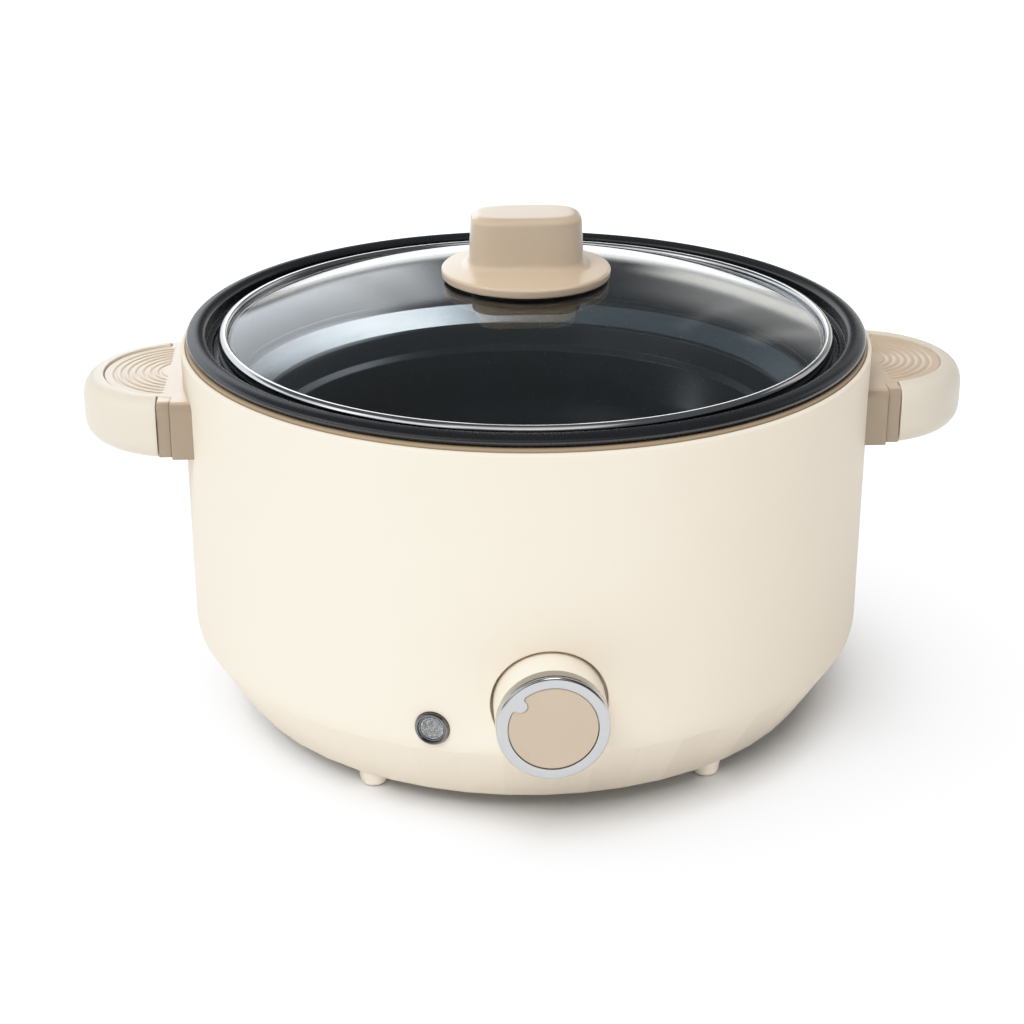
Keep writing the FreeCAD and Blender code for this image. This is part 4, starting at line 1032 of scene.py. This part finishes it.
def knob_angles():
    """Even steps round the knob, finer across the tab."""
    w = math.asin(TAB_R / TAB_C)
    near = [i * 0.25 for i in range(-62, 63)] + [s * (math.degrees(w) + d) for s in (-1, 1) for d in (-0.16, -0.08, -0.03, -0.002, 0.002, 0.04, 0.1)]
    ts = {round((TAB + math.radians(d)) % TAU, 9) for d in near}
    for k in range(480):
        t = TAU * k / 480
        if abs((t - TAB + math.pi) % TAU - math.pi) > math.radians(15.6):
            ts.add(round(t, 9))
    return sorted(ts)


def knob_ring_piece():
    """Chrome ring with a round pointer tab that reaches into the beige face."""
    th = knob_angles()
    n = len(th)
    V, F, rows = [], [], []

    def row(f):
        rows.append(list(range(len(V), len(V) + n)))
        V.extend([axis_knob(*f(t), t) for t in th])
    fz = KNOB_FACE
    row(lambda t: (R0 - 5.0, 150.6))
    row(lambda t: (R0 - 0.3, 150.6))
    row(lambda t: (R0 - 0.22, KNOB_RING))
    row(lambda t: (R0 - 0.02, KNOB_RING + 0.2))
    row(lambda t: (R0, KNOB_RING + 0.3))
    # side, a fine step, then a full rounding on to the face
    row(lambda t: (R0, fz - 1.95))
    row(lambda t: (R0 - 0.42, fz - 1.8))
    row(lambda t: (R0 - 0.42, fz - 1.35))
    row(lambda t: (R0 - 0.05, fz - 1.2))
    for k in range(0, 11):
        ph = math.pi / 2 * k / 10
        row(lambda t, ph=ph: (R0 - 0.05 - 1.05 * (1 - math.cos(ph)), fz - 1.0 + 1.0 * math.sin(ph)))
    for f in (0.33, 0.66):
        row(lambda t, f=f: (R0 - 1.1 + (inner_edge(t) + 0.30 - (R0 - 1.1)) * f, fz))
    row(lambda t: (inner_edge(t) + 0.30, fz))
    row(lambda t: (inner_edge(t) + 0.10, fz - 0.06))
    row(lambda t: (inner_edge(t) + 0.02, fz - 0.22))
    row(lambda t: (inner_edge(t), fz - 0.5))
    row(lambda t: (inner_edge(t), 153.2))
    row(lambda t: (R0 - 9.8, 153.0))
    m = len(rows)
    for i in range(m):
        a, b = rows[i], rows[(i + 1) % m]
        for k in range(n):
            F.append([a[k], a[(k + 1) % n], b[(k + 1) % n], b[k]])
    return make("knob_ring_visual", V, F, angle=28.0)


def knob_face_piece():
    th = knob_angles()
    n = len(th)
    gap = 0.16
    fz = KNOB_FACE - 0.35

    def ring(inset, h):
        return [axis_knob(inner_edge(t) - gap - inset, h, t) for t in th]
    rings = [[axis_knob(R0 - 10.0, 152.6, t) for t in th], ring(0, 153.3), ring(0, fz - 0.35), ring(0.06, fz - 0.12), ring(0.22, fz)]
    for r in (9.6, 7.0, 4.5, 2.0):
        rings.append([axis_knob(r, fz, t) for t in th])
    V, F = loft(rings, n)
    return make("knob_face_visual", V, F, angle=28.0)


piece(setmat(knob_ring_piece(), "ringsilver"), "knob", "knob_chrome", "knob_ring")
piece(setmat(knob_face_piece(), "beige"), "knob", "knob_taupe", "knob_face")

# ------------------------------------------------------------------ indicator
bez = lathe("bezel_visual", outline([(4.55, 135.5), (4.55, 138.15, 0.15), (4.95, 138.15, 0.1), (5.35, 138.95, 0.25), (5.95, 139.2, 0.35), (LAMP_R, 138.4, 0.4), (LAMP_R, 135.5)], True, 0.08), 128, axis_lamp)


def lens_piece():
    """Pebbled lens with a raised rim."""
    n, nr = 160, 56
    rng = np.random.RandomState(7)
    pts = []
    while len(pts) < 120:
        p = rng.uniform(-4.2, 4.2, 2)
        if np.hypot(*p) < 4.1 and all(np.hypot(p[0] - q[0], p[1] - q[1]) > 0.52 for q in pts):
            pts.append((p[0], p[1], rng.uniform(0.7, 1.2)))
        elif len(pts) > 60 and rng.rand() < 0.002:
            break
    P = np.array(pts)
    rings = [[axis_lamp(4.45, 135.8, TAU * k / n) for k in range(n)], [axis_lamp(4.45, 137.75, TAU * k / n) for k in range(n)],
             [axis_lamp(4.36, 138.0, TAU * k / n) for k in range(n)], [axis_lamp(4.2, 138.06, TAU * k / n) for k in range(n)],
             [axis_lamp(3.95, 138.0, TAU * k / n) for k in range(n)], [axis_lamp(3.8, 137.75, TAU * k / n) for k in range(n)]]
    for i in range(nr):
        r = 3.75 * (1 - i / nr)
        ring = []
        for k in range(n):
            t = TAU * k / n
            u, w = r * math.sin(t), r * math.cos(t)
            d = np.hypot(P[:, 0] - u, P[:, 1] - w) / (0.36 * P[:, 2])
            h = float(np.max(np.clip(1 - d * d, 0, 1) ** 0.5)) * 0.30
            ring.append(axis_lamp(r, 137.62 + h + 0.25 * (1 - (r / 3.75) ** 2), t))
        rings.append(ring)
    V, F = loft(rings, n)
    return make("lens_visual", V, F, angle=60.0)


def lens_mat():
    m, nt, p, out = new_mat("pebbled_lens")
    v = coords(nt)
    b = noise(nt, v, 1400.0, 2.0)
    nt.links.new(ramp(nt, b, [(0.35, lin(120, 122, 122)), (0.65, lin(178, 180, 179))]), p.inputs["Base Color"])
    p.inputs["Metallic"].default_value = 0.55
    nt.links.new(remap(nt, b, 0.3, 0.7, 0.16, 0.28), p.inputs["Roughness"])
    p.inputs["Coat Weight"].default_value = 0.6
    p.inputs["Coat Roughness"].default_value = 0.08
    return m


M["lens"] = lens_mat()
M["bezel"] = metal("bezel_dark_metal", (0.16, 0.16, 0.165), 0.22, False, 1800.0, 0.05, 0.08)
piece(setmat(bez, "bezel"), "pot", "bezel_dark", "indicator_bezel")
piece(setmat(lens_piece(), "lens"), "pot", "lens_clear", "indicator_lens")

# ------------------------------------------------------------------ CAD nodes that stay, with finished materials
KEEP = {
    "base_cover": "base", "base_screws": "steel", "heater_plate": "alu", "heating_element": "steel", "heater_terminals": "brass", "heat_shield": "alu",
    "clamp_strap": "steel", "strap_screws": "steel", "pan_studs": "steel", "stud_spacers": "ceramic", "stud_nuts": "steel", "thermal_cutout": "ceramic",
    "control_switch": "dark", "switch_nut": "steel", "control_shaft": "steel", "indicator_lamp": "lampglass", "indicator_clip": "steel",
    "inlet_housing": "inletblack", "inlet_pins": "brass", "inlet_screws": "steel", "wire_live": "brown", "wire_switched": "brown", "wire_heater": "brown",
    "thermal_fuse": "brass", "wire_neutral": "blue", "wire_earth": "green", "lamp_leads": "white", "lid_knob_screw": "steel",
    "left_handle_backplate": "steel", "right_handle_backplate": "steel", "left_handle_screws": "steel", "right_handle_screws": "steel",
}
for node, key in KEEP.items():
    ob = NODES[node]
    for s in ob.material_slots:
        s.material = M[key]
    if not ob.material_slots:
        ob.data.materials.append(M[key])

# ------------------------------------------------------------------ floor, light and camera
def floor_piece():
    V, F = [], []
    n = 24
    for i in range(n + 1):
        for k in range(n + 1):
            V.append((-9000 + 18000 * i / n, -4000 + 22000 * k / n, 0.0))
    for i in range(n):
        for k in range(n):
            a = i * (n + 1) + k
            F.append([a, a + 1, a + n + 2, a + n + 1])
    ob = make("floor", V, F)
    m, nt, p, out = new_mat("floor_white")
    v = coords(nt)
    b = noise(nt, v, 6.0, 2.0)
    white = ramp(nt, b, [(0.3, (0.885, 0.900, 0.925)), (0.7, (0.900, 0.915, 0.940))])
    grey = ramp(nt, b, [(0.3, (0.77, 0.77, 0.77)), (0.7, (0.78, 0.78, 0.78))])
    lp = nt.nodes.new("ShaderNodeLightPath")
    mix = nt.nodes.new("ShaderNodeMix")
    mix.data_type = "RGBA"
    nt.links.new(lp.outputs["Is Diffuse Ray"], mix.inputs["Factor"])
    nt.links.new(white, mix.inputs["A"])
    nt.links.new(grey, mix.inputs["B"])
    nt.links.new(mix.outputs["Result"], p.inputs["Base Color"])
    p.inputs["Roughness"].default_value = 0.9
    p.inputs["Specular IOR Level"].default_value = 0.15
    ob.data.materials.append(m)
    return ob


floor = floor_piece()

# ---- surroundings: an even fill for matt surfaces, and a set of soft panels that only reflections see
world = bpy.data.worlds.new("studio")
bpy.context.scene.world = world
world.use_nodes = True
wt = world.node_tree
wt.nodes.clear()
FILL = 0.14
PANELS = [
    # azimuth from +Y towards +X, elevation, soft edge (deg), colour, strength
    (-75, -8.5, 6, 31, 3.0, (0.90, 0.95, 1.00), 1.20),
    (-9, -2, 5, 25, 2.5, (0.95, 0.97, 1.00), 0.90),
    (-180, 180, -2, 3.5, 2.0, (1.00, 0.985, 0.96), 0.75),
    (11, 36, 4, 10.5, 2.0, (1.00, 0.97, 0.92), 0.80),
    (13, 36, 4, 21, 4.0, (1.00, 0.98, 0.95), 0.32),
    (17.5, 18.6, 9, 30, 1.0, (1.00, 0.97, 0.92), 0.14),
    (22.5, 24, 9, 26, 1.0, (1.00, 0.96, 0.90), 0.25),
    (38, 68, 3, 38, 3.0, (0.98, 0.98, 0.98), 0.55),
    (-110, -75, 10, 45, 5.0, (0.94, 0.97, 1.00), 0.90),
    (-150, -95, 15, 50, 8.0, (0.96, 0.98, 1.00), 1.1),
    (150, 215, 30, 60, 8.0, (1.00, 0.99, 0.97), 0.5),
]


def world_nodes():
    nt = wt
    out = nt.nodes.new("ShaderNodeOutputWorld")
    tc = nt.nodes.new("ShaderNodeTexCoord")
    xyz = nt.nodes.new("ShaderNodeSeparateXYZ")
    nt.links.new(tc.outputs["Generated"], xyz.inputs[0])
    az = mathn(nt, "MULTIPLY", mathn(nt, "ARCTAN2", xyz.outputs[0], xyz.outputs[1]), 180 / math.pi)
    el = mathn(nt, "MULTIPLY", mathn(nt, "ARCSINE", xyz.outputs[2]), 180 / math.pi)

    def rise(v, at, soft, up):
        t = nt.nodes.new("ShaderNodeMapRange")
        t.interpolation_type = "SMOOTHSTEP"
        t.inputs["From Min"].default_value = at - soft
        t.inputs["From Max"].default_value = at + soft
        t.inputs["To Min"].default_value = 0.0 if up else 1.0
        t.inputs["To Max"].default_value = 1.0 if up else 0.0
        nt.links.new(v, t.inputs["Value"])
        return t.outputs["Result"]
    total = None
    for a0, a1, e0, e1, soft, col, power in PANELS:
        mask = mathn(nt, "MULTIPLY", rise(el, e0, soft * 0.6, True), rise(el, e1, soft, False))
        if a1 - a0 < 359:
            mid, half = (a0 + a1) / 2, (a1 - a0) / 2
            off = mathn(nt, "ABSOLUTE", mathn(nt, "WRAP", mathn(nt, "SUBTRACT", az, float(mid)), 180.0, -180.0))
            mask = mathn(nt, "MULTIPLY", mask, rise(off, half, soft, False))
        vec = nt.nodes.new("ShaderNodeVectorMath")
        vec.operation = "SCALE"
        vec.inputs[0].default_value = tuple(c * power for c in col)
        nt.links.new(mask, vec.inputs["Scale"])
        if total is None:
            total = vec.outputs[0]
        else:
            add = nt.nodes.new("ShaderNodeVectorMath")
            add.operation = "ADD"
            nt.links.new(total, add.inputs[0])
            nt.links.new(vec.outputs[0], add.inputs[1])
            total = add.outputs[0]
    base = nt.nodes.new("ShaderNodeVectorMath")
    base.operation = "ADD"
    base.inputs[1].default_value = (0.10, 0.105, 0.112)
    nt.links.new(total, base.inputs[0])
    shiny = nt.nodes.new("ShaderNodeBackground")
    nt.links.new(base.outputs[0], shiny.inputs[0])
    matt = nt.nodes.new("ShaderNodeBackground")
    matt.inputs[0].default_value = (1.0, 0.998, 0.992, 1)
    lp = nt.nodes.new("ShaderNodeLightPath")
    matt.inputs[1].default_value = FILL
    mx = nt.nodes.new("ShaderNodeMixShader")
    nt.links.new(lp.outputs["Is Glossy Ray"], mx.inputs[0])
    nt.links.new(matt.outputs[0], mx.inputs[1])
    nt.links.new(shiny.outputs[0], mx.inputs[2])
    # plain white beyond the edge of the floor
    paper = nt.nodes.new("ShaderNodeBackground")
    paper.inputs[0].default_value = (1.0, 1.0, 1.0, 1)
    paper.inputs[1].default_value = 1.3
    seen = nt.nodes.new("ShaderNodeMixShader")
    nt.links.new(lp.outputs["Is Camera Ray"], seen.inputs[0])
    nt.links.new(mx.outputs[0], seen.inputs[1])
    nt.links.new(paper.outputs[0], seen.inputs[2])
    nt.links.new(seen.outputs[0], out.inputs[0])


world_nodes()


def only(ob, name, members):
    """The light falls on these objects alone."""
    c = bpy.data.collections.new(name)
    for m in members:
        c.objects.link(m)
    ob.light_linking.receiver_collection = c


def sun(name, direction, strength, angle, col=(1, 1, 1)):
    d = bpy.data.lights.new(name, "SUN")
    d.energy = strength
    d.angle = math.radians(angle)
    d.color = col
    ob = bpy.data.objects.new(name, d)
    ob.rotation_euler = Vector(direction).to_track_quat("-Z", "Y").to_euler()
    ob.visible_glossy = False
    ob.visible_transmission = False
    bpy.context.scene.collection.objects.link(ob)
    return ob


object_parts = [o for o in bpy.context.scene.objects if o.type == "MESH" and o is not floor]
only(sun("key", (0.28, 0.50, -0.82), 0.78 * math.pi, 42), "key_on", object_parts)
only(sun("top", (0.05, -0.05, -1.0), 0.30 * math.pi, 80), "top_on", object_parts)
only(sun("floor_key", (0.32, 0.0, -1.0), 1.66 * math.pi, 90), "floor_key_on", [floor])
only(sun("floor_front", (-0.2, 0.7, -0.6), 0.12 * math.pi, 50), "floor_front_on", [floor])
only(sun("feet_fill", (-0.35, 0.85, -0.2), 0.42 * math.pi, 40), "feet_fill_on", [bpy.data.objects["feet_visual"]])
only(sun("knob_side", (0.95, 0.25, -0.2), 0.27 * math.pi, 40), "knob_side_on", [bpy.data.objects["lid_knob_visual"]])
only(sun("knob_right", (-0.9, 0.3, -0.35), 0.10 * math.pi, 40), "knob_right_on", [bpy.data.objects["lid_knob_visual"]])
only(sun("cover_left", (0.7, 0.35, -0.6), 0.09 * math.pi, 40), "cover_left_on", [o for o in object_parts if "cover_visual" in o.name and o.bound_box[0][0] < -0.1])


def gloss(name, az, el, strength, angle, members, col=(1, 1, 1), free=None):
    """A soft lamp at this azimuth (from +Y towards +X) and elevation that only adds reflections, on these parts alone.
    With free given, that object alone can shade it."""
    a, e = math.radians(az), math.radians(el)
    ob = sun(name, (-math.sin(a) * math.cos(e), -math.cos(a) * math.cos(e), -math.sin(e)), strength * math.pi, angle, col)
    ob.visible_glossy = True
    ob.visible_diffuse = False
    only(ob, name + "_on", members)
    ob.visible_transmission = False
    if free is not None:
        c = bpy.data.collections.new(name + "_block")
        c.objects.link(free)
        ob.light_linking.blocker_collection = c
    return ob


tops = [o for o in object_parts if "core_visual" in o.name or o.name == "lid_knob_visual"]
gloss("sheen", -8, 19, 0.18, 24, tops[:-1])
gloss("sheen_side", 14, 20, 0.05, 30, tops[:-1])
gloss("sheen_cover", -8, 24, 0.24, 30, [o for o in object_parts if "cover_visual" in o.name])
gloss("sheen_knob", -10, 19, 0.25, 40, [bpy.data.objects["lid_knob_visual"]])
gloss("knob_edge", -165, 62, 0.035, 18, [bpy.data.objects["lid_knob_visual"]])
for i, (az, el, k) in enumerate([(28, 9, 0.05), (39, 17, 0.12), (57, 31, 0.40), (78, 44, 1.2), (104, 56, 2.1), (130, 62, 1.2)]):
    gloss("step_strip_%d" % i, az, el, k, 26, [step_ob], (0.86, 0.93, 1.0), floor)
    if i in (1, 2, 3):
        gloss("pan_strip_%d" % i, az, el, 0.22 * k, 26, [pan_ob], (0.86, 0.93, 1.0), floor)
gloss("pan_glint", -90, -16.5, 0.085, 6, [pan_ob], (0.92, 0.96, 1.0), bpy.data.objects["lens_visual"])
gloss("band_top", 180, 62, 0.10, 50, [bpy.data.objects["lid_band_visual"]], (1, 1, 1), floor)
gloss("band_front", 2.5, 23, 0.060, 20, [bpy.data.objects["lid_band_visual"]], (1, 1, 1), floor)
gloss("ring_edge", 175, 68, 0.25, 24, [bpy.data.objects["knob_ring_visual"]], (1, 1, 1), floor)

cam = bpy.data.cameras.new("camera")
cam.lens = 73.83
cam.sensor_width = 36.0
cam.sensor_fit = "HORIZONTAL"
cam.clip_start, cam.clip_end = 0.02, 60.0
camob = bpy.data.objects.new("camera", cam)
camob.location = (-0.0528, -0.8044, 0.41215)
camob.rotation_euler = (math.radians(90 - 22.83), 0.0, math.radians(-3.36))
bpy.context.scene.collection.objects.link(camob)
bpy.context.scene.camera = camob
bpy.context.scene.view_settings.view_transform = "Standard"
bpy.context.scene.view_settings.look = "None"
# soft shoulder, so that white plastic under a strong top light keeps its form
vs = bpy.context.scene.view_settings
vs.use_curve_mapping = True
cm = vs.curve_mapping
TOP = 2.0
cm.white_level = (TOP, TOP, TOP)
SHOULDER = [(0.0, 0.0), (0.05, 0.05), (0.2, 0.2), (0.45, 0.445), (0.70, 0.69), (0.90, 0.858), (1.0, 0.92), (1.10, 0.957), (1.20, 0.983), (1.35, 1.0), (2.0, 1.0)]
cv = cm.curves[3]
cv.points[0].location = SHOULDER[0]
cv.points[1].location = (1.0, 1.0)
for x, y in SHOULDER[1:-1]:
    cv.points.new(x / TOP, y)
for pt in cv.points:
    pt.handle_type = "AUTO_CLAMPED"
cm.update()


bpy.context.view_layer.update()
